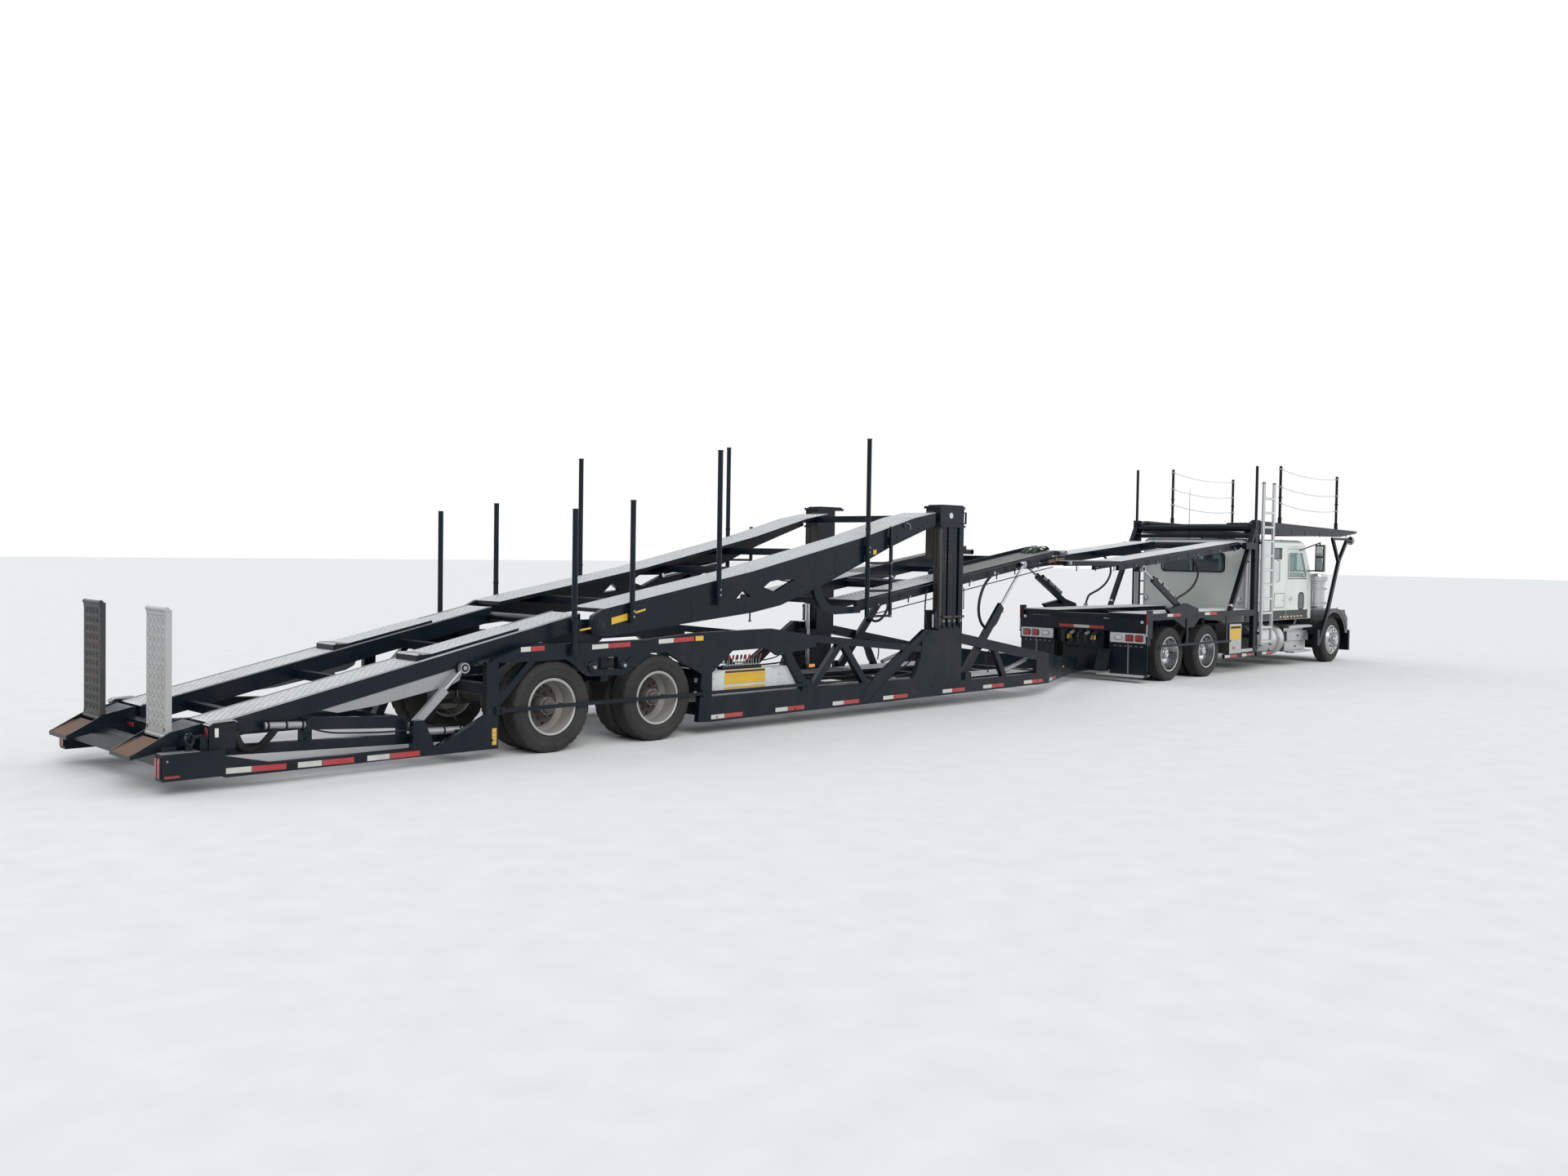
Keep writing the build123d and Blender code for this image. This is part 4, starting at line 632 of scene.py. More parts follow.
# ---------- wheels ----------
def tyre_profile(r, w):
    half = w / 2
    side = [(BEAD_R + 0.001, RIM_HALF - 0.016), (FLANGE_R + 0.006, RIM_HALF - 0.012),
        (FLANGE_R + 0.012, RIM_HALF + 0.004), (0.33, half - 0.012), (0.336, half - 0.006), (0.342, half - 0.008),
        (0.375, half), (0.405, half - 0.001), (0.409, half + 0.001), (0.414, half - 0.002), (r - 0.03, half - 0.01),
        (r - 0.014, half - 0.018), (r, half - 0.034)]
    tread = []
    for g in (0.066, 0.022, -0.022, -0.066):
        tread += [(r, g + 0.006), (r - 0.012, g + 0.003), (r - 0.012, g - 0.003), (r, g - 0.006)]
    return side + tread + [(a, -b) for a, b in reversed(side)]


def tyre(p, x, y, r, w):
    inner = [(BEAD_R + 0.0005, -RIM_HALF + 0.016), (BEAD_R + 0.0005, RIM_HALF - 0.016)]
    ring = tyre_profile(r, w) + inner
    verts = []
    for k in range(TYRE_STEPS):
        a = 2 * pi * k / TYRE_STEPS
        notch = k % 4 == 0
        for rr, yy in ring:
            shoulder = r - 0.02 < rr and abs(yy) > w / 2 - 0.04
            sipe = rr == r and abs(yy) < 0.07 and k % 4 == 2
            here = rr - (0.009 if notch and shoulder else 0.0) - (0.0025 if sipe else 0.0)
            verts.append((x + here * cos(a), p.side * y + yy, r + here * sin(a)))
    p.add(verts, ring_faces(TYRE_STEPS, len(ring), True), TYRE)


def hub_and_nuts(p, x, face_y, hub_y, r, nut, hub, deep):
    # Ten nuts on their studs
    for k in range(10):
        a = 2 * pi * (k + 0.5) / 10
        px, pz = x + STUD_R * cos(a), r + STUD_R * sin(a)
        p.disc((px, face_y, pz), OUT, 0.024, 0.005, 16, nut)
        p.cap((px, face_y, pz), OUT, [(0.0195, 0), (0.0195, 0.026), (0.016, 0.031)], 6, nut)
        p.tube((px, face_y + 0.03, pz), (px, face_y + 0.048, pz), 0.011, 10, nut)
    # Hub flange, cap and their small bolts
    p.cap((x, hub_y, r), OUT, [(0.096, -deep), (0.094, -0.006), (0.088, 0.001)], 40, hub)
    for px, pz in circle(0.082, 8, x, r):
        p.bolt((px, hub_y + 0.001, pz), OUT, 0.0075, 0.008, hub)
    p.lathe((x, hub_y, r), OUT, [(0.072, 0), (0.072, 0.022), (0.066, 0.032), (0.045, 0.038), (0.04, 0.034),
        (0, 0.034)], 32, hub)


def rim_lip(p, x, y, r, finish):
    p.lathe((x, y + RIM_HALF, r), OUT, [(FLANGE_R + 0.001, -0.004), (FLANGE_R + 0.001, 0.002), (0.293, 0.005),
        (0.283, 0.001), (0.2755, -0.008), (0.2755, -0.02), (0.28, -0.02), (0.288, -0.006)], 72, finish, closed=True)


def disc_cover(p, x, face_y, r, finish):
    n = p.outward(OUT)
    # The plate's own axes start where the CAD's hand holes do
    u = n.orthogonal().normalized()
    v = n.cross(u)
    turn = atan2(v.x, u.x)
    holes = [circle(0.0272, 16, *centre) for centre in circle(0.208, 10)]
    swung = [[(a * cos(turn) - b * sin(turn), a * sin(turn) + b * cos(turn)) for a, b in hole] for hole in holes]
    p.sheet_with_holes(p.outward((x, face_y + 0.0003, r)), n, circle(0.236, 60), swung + [circle(0.098, 40)], 0.0012,
        finish)


def dual_set(name, x, side, mid, r, w, steel):
    body = f"{name}_wheels"
    tyres = Piece(f"{name}_treaded_tyres", body, "tyre_rubber")
    trim = Piece(f"{name}_hub_and_nuts", body, "polished_rim")
    tyres.side = trim.side = side
    for y in (mid + DUAL, mid - DUAL):
        tyre(tyres, x, y, r, w)
    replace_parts(tyres.done(50), f"{name}_tyres")
    nuts, hub, lip = (GRIME, GRIME, SILVER) if steel else (POLISHED, CHROME, POLISHED)
    face_y = mid + 0.013
    hub_and_nuts(trim, x, face_y, mid + 0.19, r, nuts, hub, 0.172)
    rim_lip(trim, x, mid + DUAL, r, lip)
    if steel:
        disc_cover(trim, x, face_y, r, nuts)
    # Valve stem of the inner tyre
    trim.pipe([(x + 0.245, mid + 0.04, r), (x + 0.242, mid + 0.08, r), (x + 0.236, mid + 0.15, r + 0.005),
        (x + 0.236, mid + 0.17, r + 0.006)], 0.006, 8, RUBBER)
    trim.done()


def build_wheels():
    for tag, side in (("left", 1), ("right", -1)):
        for number, k in (("rear", 0), ("front", 1)):
            dual_set(f"trailer_{number}_{tag}", k * TRAILER_GAP, side, TRAILER_Y, TRAILER_R, 0.268, True)
            dual_set(f"drive_{number}_{tag}", DRIVE_X + k * DRIVE_GAP, side, DRIVE_Y, DRIVE_R, 0.248, False)
        tyres = Piece(f"steer_{tag}_treaded_tyre", f"steer_wheel_{tag}", "tyre_rubber")
        trim = Piece(f"steer_{tag}_hub_and_nuts", f"steer_wheel_{tag}", "polished_rim")
        tyres.side = trim.side = side
        tyre(tyres, STEER_X, STEER_Y, DRIVE_R, 0.25)
        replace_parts(tyres.done(50), f"steer_{tag}_tyre")
        hub_and_nuts(trim, STEER_X, STEER_Y + DUAL, STEER_Y + 0.197, DRIVE_R, POLISHED, CHROME, 0.036)
        rim_lip(trim, STEER_X, STEER_Y, DRIVE_R, POLISHED)
        trim.done()


# Brake chambers, slack arms and spring bolts on the fixed axles
def build_running_gear():
    for body, stations, r, y, lift in (("trailer", (0, TRAILER_GAP), TRAILER_R, 0.33, 0.09),
            ("truck", (DRIVE_X, DRIVE_X + DRIVE_GAP), DRIVE_R, 0.53, 0.12)):
        gear = Piece(f"{body}_brake_chambers", body, "axle_steel")
        for x in stations:
            for _ in gear.sides():
                z = r + lift
                gear.cap((x + 0.1, y, z), (1, 0, 0), [(0.055, 0), (0.078, 0.03), (0.078, 0.075), (0.086, 0.078),
                    (0.086, 0.095), (0.078, 0.098), (0.078, 0.16), (0.05, 0.19)], 24, AXLE)
                gear.tube((x - 0.01, y, z - 0.01), (x + 0.11, y, z), 0.011, 8, GALV)
                gear.plate([(x - 0.03, r + 0.02), (x + 0.03, r + 0.02), (x + 0.012, z + 0.03), (x - 0.02, z + 0.03)],
                    y - 0.014, y + 0.014, AXLE)
                gear.pipe([(x + 0.28, y, z), (x + 0.34, y, z + 0.02), (x + 0.38, y - 0.03, z + 0.07),
                    (x + 0.44, y - 0.05, z + 0.075)], 0.01, 8, RUBBER)
        gear.done()
    bolts = Piece("trailer_spring_bolts", "trailer", "axle_steel")
    for x in (0, TRAILER_GAP):
        for _ in bolts.sides():
            for dx in (-0.075, 0.075):
                for y in (0.452, 0.518):
                    bolts.tube((x + dx, y, TRAILER_R - 0.125), (x + dx, y, TRAILER_R + 0.075), 0.009, 8, GALV)
                bolts.tube((x + dx, 0.445, TRAILER_R + 0.072), (x + dx, 0.525, TRAILER_R + 0.072), 0.012, 8, GALV)
            bolts.box((x - 0.1, x + 0.1), (0.442, 0.528), (TRAILER_R - 0.122, TRAILER_R - 0.106), AXLE)
            for ring in range(4):
                z = TRAILER_R + ring * 0.035
                bolts.lathe((x - 0.23, 0.485, z), UP, [(0.121, 0), (0.128, 0.008), (0.128, 0.018), (0.121, 0.026)],
                    28, AXLE, closed=True)
    bolts.done()


# ---------- treads on the runways ----------
TAIL_SLOPE = (1.435 - 0.56) / (0.46 + 3.45)
FRONT_X, FRONT_Z, FRONT_SLOPE = 4.9, 1.51, 0.695 / 4.58
FLOOR_Z = 0.372


def tail_z(x):
    return 0.56 + (x + 3.45) * TAIL_SLOPE


def front_z(x):
    return FRONT_Z + (x - FRONT_X) * FRONT_SLOPE


def build_treads():
    deck = Piece("tail_deck_treads", "tail_deck_body", "deck_paint")
    for _ in deck.sides():
        deck.tread(-3.45, tail_z(-3.45), -1.46, tail_z(-1.46), RUN_IN, RUN_OUT)
        deck.tread(-0.28, tail_z(-0.28), 0.455, tail_z(0.455), RUN_IN, RUN_OUT)
        for ya, yb in ((RUN_IN, RUN_IN + 0.058), (RUN_OUT - 0.058, RUN_OUT)):
            deck.tread(-1.46, tail_z(-1.46), -0.28, tail_z(-0.28), ya, yb, gap=0.03)
        deck.tread(-1.3, tail_z(-1.46) + 0.07, -0.28, tail_z(-0.28) + 0.03, RUN_IN + 0.06, RUN_OUT - 0.06)
        # Rolled rear end of the raised plate
        z = tail_z(-1.46)
        deck.tube((-1.425, RUN_IN + 0.062, z + 0.045), (-1.425, RUN_OUT - 0.062, z + 0.045), 0.034, 18, GALV)
        deck.plate([(-1.425, z + 0.01), (-1.29, z + 0.045), (-1.29, z + 0.076), (-1.425, z + 0.079)], RUN_IN + 0.062,
            RUN_OUT - 0.062, GALV)
        # Kerb angles along both edges of the runway
        for y in (RUN_IN + 0.004, RUN_OUT - 0.004):
            deck.plate([(-3.44, tail_z(-3.44) + 0.002), (0.455, tail_z(0.455) + 0.002),
                (0.455, tail_z(0.455) + 0.013), (-3.44, tail_z(-3.44) + 0.013)], y - 0.004, y + 0.004, GALV)
        # Cap over the lift rod's pin
        deck.cap((-1.0, ARM_OUT - 0.004, 0.93), OUT, [(0.022, 0), (0.022, 0.004), (0.012, 0.007)], 20, GALV)
        # Silver skid plate hung under the outer beam
        for y in (RUN_OUT - 0.047, RUN_OUT - 0.0105):
            deck.plate([(-2.475, 0.615), (-1.01, 0.94), (-0.968, 0.9), (-1.012, 0.803), (-1.112, 0.756),
                (-1.9, 0.614), (-2.298, 0.575)], y, y + 0.002, GALV)
    deck.done()

    deck = Piece("upper_deck_treads", "upper_deck_body", "deck_paint")
    tops = ((0.64, 1.49), (2.83, 1.89), (4.81, 2.33), (5.85, 2.61), (6.29, 2.69))
    for _ in deck.sides():
        for (xa, za), (xb, zb) in zip(tops, tops[1:]):
            deck.tread(xa, za, xb, zb, HALF - 0.57, SIDE_OUT - 0.052)
            deck.tread(xa, za, xb, zb, SIDE_OUT - 0.052, SIDE_OUT, pitch=0.05, gap=0.03)
    deck.done()

    # The rows given the shaded plate lie in shade: their darker tread is painted shade
    for name, body, slot, rows in (
            ("front_deck_treads", "front_deck_body", "deck_paint", (
                (FRONT_X, FRONT_Z, 7.0, front_z(7.0), RUN_IN, RUN_OUT),
                (7.0, front_z(7.0), 9.47, 2.2035, RUN_IN + 0.014, RUN_OUT, TREAD_SHADED),
                (9.48, 2.2025, 9.64, 2.191, RUN_IN, RUN_OUT, TREAD_SHADED))),
            ("truck_deck_treads", "truck_deck_body", "deck_paint", (
                (9.8, 2.042, 11.34, 2.0499, RUN_IN, RUN_OUT, TREAD_SHADED),
                (11.35, 2.046, 15.48, 2.428, RUN_IN, RUN_OUT))),
            ("head_rack_treads", "head_rack_body", "rack_paint", (
                (16.06, 2.8, 20.748, 2.705, RUN_IN, SIDE_IN - 0.115, TREAD_SHADED),)),
            ("lower_deck_treads", "trailer", "structure_paint", (
                (2.06, FLOOR_Z, 6.9, FLOOR_Z, RUN_IN, RUN_OUT, TREAD_SHADED),
                (6.9, FLOOR_Z, 8.91, FLOOR_Z, RUN_IN, RUN_OUT)))):
        deck = Piece(name, body, slot)
        for _ in deck.sides():
            for row in rows:
                deck.tread(*row)
        deck.done()

    floor = Piece("truck_rear_deck_treads", "truck", "structure_paint")
    for _ in floor.sides():
        floor.tread(TRUCK_REAR, 1.17, 15.84, 1.17, 0.52, SIDE_IN - 0.005)
        floor.box((TRUCK_REAR - 0.026, TRUCK_REAR - 0.018), (0.33, HALF - 0.06), (0.097, 0.134), TREAD, 0.002)
        floor.tread(TRUCK_REAR - 0.02, 0.131, TRUCK_REAR + 0.2, 0.131, 0.33, HALF - 0.06, pitch=0.055)
    floor.done()


# Flip ramps: raised lips round the punched slots, a rolled top end and hinge ears
def build_flip_ramps():
    for tag, side, finish in (("left", 1, RAMP), ("right", -1, SILVER)):
        ramp_piece = Piece(f"flip_ramp_{tag}_lips", f"flip_ramp_{tag}_body", "ramp_paint")
        ramp_piece.side = side
        x0, y_in, y_out, z0, long = -3.815, RUN_IN - 0.02, RUN_IN + 0.42, 0.47, 1.09
        mid_y, mid_z = (y_in + y_out) / 2, z0 + 0.03 + (long - 0.03) / 2
        # Each slot has a lip outside and a dark sleeve of painted shade inside: (half width, half height, depth) of
        # their rings
        lips = ((0.0135, 0.0235, -0.006), (0.0175, 0.0275, -0.0122), (0.0205, 0.0305, -0.0122),
            (0.024, 0.034, -0.006))
        sleeve = ((0.0128, 0.0228, -0.005), (0.0128, 0.0228, 0.02), (0.0142, 0.0242, 0.02), (0.0142, 0.0242, -0.005))
        for i in range(4):
            for k in range(12):
                y = mid_y + (i - 1.5) * (y_out - y_in) / 4.6
                z = mid_z + (k - 5.5) * (long - 0.07) / 12.5
                for rings, skin in ((lips, finish), (sleeve, HOLE_SHADOW)):
                    verts = [(x0 + deep, side * (y + a), z + b)
                        for wide, tall, deep in rings for a, b in oval(wide, tall, 12)]
                    ramp_piece.add(verts, ring_faces(4, 12, True), skin)
        for z in (z0 + 0.035, z0 + long - 0.035):
            ramp_piece.box((x0 - 0.011, x0 - 0.005), (y_in + 0.004, y_out - 0.004), (z - 0.014, z + 0.014), finish)
        for ya, yb in ((y_in - 0.004, y_in + 0.014), (y_out - 0.014, y_out + 0.004)):
            ramp_piece.tube((x0 + 0.004, ya, z0 + long), (x0 + 0.004, yb, z0 + long), 0.023, 16, finish)
        for y in (y_in + 0.03, y_out - 0.03):
            ramp_piece.box((x0 - 0.01, x0 + 0.02), (y - 0.016, y + 0.016), (z0 + 0.004, z0 + 0.075), RUSTY)
            ramp_piece.bolt((x0 - 0.01, y, z0 + 0.052), BACK, 0.008, 0.004, RUSTY)
        ramp_piece.done()


# ---------- trailer ----------
def lamp(p, x, y, z, axis, wide, tall, bezel, lens, deep=0.012):
    """A lamp on an upright face: a bezel and a lens that stands a little proud."""
    for rim, share, finish, edge in ((0, 0.55, bezel, 0.004), (0.008, 1, lens, 0.006)):
        half, level = wide / 2 - rim, (z - tall / 2 + rim, z + tall / 2 - rim)
        out = Vector(axis) * deep * share
        if abs(out.x) > abs(out.y):
            p.box((x, x + out.x), (y - half, y + half), level, finish, edge)
        else:
            p.box((x - half, x + half), (y, y + out.y), level, finish, edge)


def build_trailer_tail():
    tail = Piece("trailer_tail_lamps", "trailer")
    for _ in tail.sides():
        for y in (1.178, 1.243):
            lamp(tail, -3.95, y, 0.243, BACK, 0.056, 0.188, RUBBER, RED_LENS, 0.016)
        lamp(tail, -3.868, SIDE_OUT, 0.166, OUT, 0.145, 0.036, RUBBER, RED_LENS)
        tail.box((-3.946, -3.63), (1.142, 1.283), (0.3595, 0.3625), GALV)
        # Lamp cluster with its bright lid
        lamp(tail, -3.53, 1.166, 0.5, BACK, 0.072, 0.1, RUBBER, RED_LENS)
        lamp(tail, -3.47, SIDE_IN + 0.005, 0.5, OUT, 0.05, 0.095, RUBBER, CLEAR_LENS)
        tail.plate([(-3.54, 0.56), (-3.5, 0.585), (-3.315, 0.592), (-3.29, 0.578), (-3.29, 0.586), (-3.312, 0.6),
            (-3.505, 0.593), (-3.545, 0.567)], 1.112, 1.228, GALV)
        # Ring for the chain binder behind the cluster
        tail.lathe((-3.69, 1.178, 0.455), (0.5, 1, 0.1), [(0.032, 0), (0.058, 0), (0.06, 0.014), (0.052, 0.024),
            (0.034, 0.022)], 28, PAINT, closed=True)
        tail.tube((-3.69, 1.14, 0.452), (-3.56, 1.15, 0.47), 0.02, 12, PAINT)
        tail.box((-3.72, -3.66), (1.142, 1.2), (0.359, 0.41), PAINT)
        for k in range(3):
            tail.bolt((-3.62 + k * 0.09, 1.15, 0.3625), UP, 0.008, 0.008, PAINT)
        tail.box((-3.607, -3.598), (0.35, 0.5), (0.4, 0.44), RED_LENS)
        tail.bolt((-3.905, SIDE_OUT + 0.001, 0.3), OUT, 0.006, 0.005, GALV)
        lamp(tail, 3.88, SIDE_OUT, 0.72, OUT, 0.12, 0.055, RUBBER, AMBER_LENS)
    tail.done()

    toes = Piece("toe_plate_rust", "trailer", "structure_paint")
    y0, y1 = RUN_IN - 0.016, RUN_IN + 0.416
    for _ in toes.sides():
        toes.plate([(-4.116, 0.329), (-3.851, 0.438), (-3.853, 0.4425), (-4.118, 0.3335)], y0, y1, RUSTY)
        for y in (y0 - 0.001, y1 - 0.002):
            toes.plate([(-4.115, 0.334), (-3.905, 0.424), (-3.905, 0.432), (-4.118, 0.342)], y, y + 0.004, RUSTY)
        # Hinge plate between the ramp and the deck, in bars with gaps between them
        edges = [y0] + [RUN_IN - 0.02 + 0.062 + k * 0.053 for k in range(7)] + [y1]
        for k in range(8):
            a = edges[k] + (0.013 if k else 0)
            b = edges[k + 1] - (0.013 if k < 7 else 0)
            toes.plate([(-3.735, 0.4925), (-3.515, 0.5575), (-3.515, 0.561), (-3.735, 0.496)], a, b, SILL_GREY)
        toes.bolt((-3.6, y0 - 0.006, 0.44), (0, -1, 0), 0.008, 0.006, PAINT)
        for k in range(5):
            toes.bolt((-3.58 - 0.1 * k, y1 + 0.0085, 0.47 - 0.03 * k), OUT, 0.008, 0.006, PAINT)
    toes.done()

    gear = Piece("tail_arm_cylinders", "trailer", "rod_chrome")
    for _ in gear.sides():
        for (xa, za), (xb, zb), r in (((-1.462, 0.335), (-1.012, 0.318), 0.036),
                ((-3.03, 0.5195), (-2.65, 0.5005), 0.032)):
            gear.tube((xa, ARM_Y, za), (xb, ARM_Y, zb), r, 24, GALV)
            for t in (0.06, 0.5, 0.9):
                x, z = xa + (xb - xa) * t, za + (zb - za) * t
                gear.tube((x, ARM_Y, z), (x + 0.022, ARM_Y, z - 0.001), r + 0.005, 24, PAINT)
        # Corrugated conduit looping from the lamp cluster to the arm
        gear.pipe([(-3.29, 1.17, 0.5), (-3.265, 1.172, 0.395), (-3.2, 1.172, 0.318), (-3.085, 1.172, 0.32),
            (-2.99, 1.17, 0.405), (-2.925, 1.168, 0.48)], 0.037, 16, RUBBER, 16, 0.24)
        gear.pipe([(-2.6, 1.12, 0.47), (-2.45, 1.115, 0.4), (-2.1, 1.118, 0.372), (-1.72, 1.12, 0.35),
            (-1.5, 1.13, 0.36)], 0.009, 8, RUBBER)
        gear.pipe([(-1.05, 1.128, 0.4), (-1.12, 1.126, 0.52), (-1.3, 1.126, 0.56), (-1.42, 1.128, 0.5),
            (-1.44, 1.13, 0.42)], 0.008, 8, RUBBER)
        gear.bolts(((-2.61, 0.52), (-2.61, 0.36), (-1.64, 0.45), (-1.64, 0.3), (-1.06, 0.29), (-1.06, 0.2)), ARM_IN,
            0.013, 0.012, PAINT)
    gear.done()


def build_trailer_sides():
    tapes = Piece("trailer_marker_tapes", "trailer")
    for _ in tapes.sides():
        # Tape on the wheel plates, the thin tail rail and the bottom rail
        for ends in ((-0.41, -0.12, 1.07, 1.075), (0.49, 1.01, 1.06, 1.072), (1.41, 1.93, 1.085, 1.1),
                (-3.413, -2.874, 0.146, 0.134), (-2.768, -2.226, 0.132, 0.126), (-2.095, -1.55, 0.125, 0.123)):
            tapes.tape(*ends)
        for x0 in (2.05, 3.1, 4.12, 5.1, 6.36, 7.29, 8.3):
            tapes.tape(x0 + 0.16, x0 + 0.66, 0.178 + 0.006 * (x0 - 2), 0.18 + 0.006 * (x0 - 2))
        tapes.box((1.955, 2.075), (SIDE_OUT - 0.002, SIDE_OUT + 0.0015), (1.098, 1.152), YELLOW)
        tapes.box((-0.742, -0.69), (SIDE_OUT - 0.002, SIDE_OUT + 0.0015), (0.15, 0.318), YELLOW)
        for z in (0.195, 0.235, 0.275):
            tapes.box((-0.738, -0.694), (SIDE_OUT + 0.001, SIDE_OUT + 0.002), (z - 0.0015, z + 0.0015), BLACK_TRIM,
                0.0003)
    tapes.done()

    fit = Piece("trailer_side_fittings", "trailer", "structure_paint")
    for _ in fit.sides():
        # Balance beam bosses between the wheels
        for x, z, r in ((0.5, 0.872, 0.062), (0.905, 0.872, 0.048)):
            fit.cap((x, SIDE_OUT - 0.01, z), OUT, [(r, 0), (r, 0.028), (r - 0.01, 0.036), (r * 0.5, 0.036),
                (r * 0.42, 0.026)], 28, PAINT)
            fit.tube((x, SIDE_OUT + 0.01, z), (x, SIDE_OUT + 0.05, z), 0.02, 14, GALV)
        for outline in (((0.38, 0.905), (0.48, 0.86), (0.48, 0.885), (0.39, 0.925)),
                ((0.925, 0.86), (1.02, 0.935), (1.01, 0.955), (0.915, 0.888))):
            fit.plate(outline, SIDE_OUT - 0.01, SIDE_OUT + 0.012, PAINT)
        # Frame round the square hole
        fit.surround((0.572, 0.848), (SIDE_OUT - 0.01, SIDE_OUT + 0.0045), (0.832, 0.976), 0.008, 0.008, PAINT, 0.001)
        # Guard bar ends, their pins and the stops
        for x, z in ((-0.66, 0.49), (2.11, 0.49), (3.76, 0.47)):
            fit.box((x - 0.05, x - 0.018), (HALF - 0.006, HALF + 0.024), (z - 0.04, z + 0.04), PAINT)
            fit.bolt((x + 0.02, HALF + 0.021, z), OUT, 0.011, 0.01, PAINT)
        # Weld beads where the lattice meets its rails
        for x, z in ((3.36, 1.075), (3.78, 0.45), (4.45, 0.985), (3.92, 0.45), (4.91, 0.45), (4.86, 0.26),
                (6.18, 1.06), (7.72, 0.8), (7.96, 0.37)):
            fit.pipe([(x - 0.07, SIDE_OUT, z), (x, SIDE_OUT + 0.001, z), (x + 0.07, SIDE_OUT, z)], 0.006, 8, PAINT)
        # Edge flanges on the tower plate and its raking brace
        for (xa, za), (xb, zb) in (((4.96, 0.185), (6.225, 1.08)), ((4.79, 0.3), (6.11, 1.092)),
                ((6.92, 1.015), (8.99, 0.655)), ((6.92, 0.885), (8.77, 0.565)), ((5.905, 0.485), (6.02, 0.7)),
                ((6.02, 0.7), (6.06, 0.945))):
            run = hypot(xb - xa, zb - za)
            nx, nz = -(zb - za) / run * 0.006, (xb - xa) / run * 0.006
            fit.plate([(xa + nx, za + nz), (xb + nx, zb + nz), (xb - nx, zb - nz), (xa - nx, za - nz)],
                SIDE_OUT - 0.02, SIDE_OUT + 0.0045, PAINT)
        fit.bolts(((5.98, 0.3), (6.3, 0.3), (6.62, 0.3), (6.88, 0.3), (6.3, 0.95), (6.6, 0.95), (6.86, 0.95),
            (8.82, 0.25), (8.95, 0.25), (8.82, 0.6), (8.95, 0.58), (-0.74, 0.2), (-0.74, 0.55), (-0.74, 0.9),
            (2.3, 0.4), (2.3, 0.2), (3.6, 0.2), (4.86, 0.24)), SIDE_OUT - 0.001, 0.011, 0.009, PAINT)
        # Hoses and cable runs inside the lattice
        fit.pipe([(2.3, 1.19, 0.52), (3.2, 1.195, 0.5), (4.2, 1.19, 0.48), (5.2, 1.195, 0.47), (6.2, 1.19, 0.5),
            (6.7, 1.18, 0.75)], 0.012, 8, RUBBER)
        fit.pipe([(3.3, 1.18, 0.6), (3.9, 1.19, 0.56), (4.6, 1.185, 0.54), (5.4, 1.19, 0.53), (5.9, 1.19, 0.6),
            (6.3, 1.18, 0.95)], 0.009, 8, RUBBER)
        fit.pipe([(7.75, 1.15, 0.42), (7.6, 1.16, 0.62), (7.82, 1.165, 0.8), (8.02, 1.16, 0.66), (7.95, 1.15, 0.44)],
            0.01, 8, RUBBER)
        fit.tube((8.05, 1.15, 0.4), (8.68, 1.15, 0.56), 0.03, 18, GALV)
        fit.tube((8.66, 1.15, 0.555), (8.86, 1.15, 0.606), 0.016, 14, CHROME)
    fit.done()

    # Amber marker and tape on each nose plate, in the plate's own slanting frame
    nose_lamps = Piece("trailer_nose_lamps", "trailer")
    xa, ya, xb, yb = 9.1, SIDE_OUT, 11.42, 0.3
    run = hypot(xb - xa, yb - ya)
    for side in BOTH:
        ahead = Vector((xb - xa, side * (yb - ya), 0)) / run
        out = Vector((-ahead.y, ahead.x, 0)) * (1 if side > 0 else -1)
        axes = Matrix((ahead, out, UP)).transposed().to_4x4()
        nose_lamps.turn = Matrix.Translation((xa, side * ya, 0)) @ axes
        nose_lamps.box((1.16, 1.27), (-0.001, 0.006), (0.335, 0.375), RUBBER)
        nose_lamps.box((1.168, 1.262), (-0.001, 0.012), (0.341, 0.369), AMBER_LENS, 0.005)
        nose_lamps.box((0.1, 0.3), (-0.001, 0.0015), (0.215, 0.262), WHITE_TAPE, 0.0005)
        nose_lamps.box((0.304, 0.6), (-0.001, 0.0015), (0.215, 0.262), RED_TAPE, 0.0005)
    nose_lamps.turn = Matrix.Identity(4)
    nose_lamps.done()


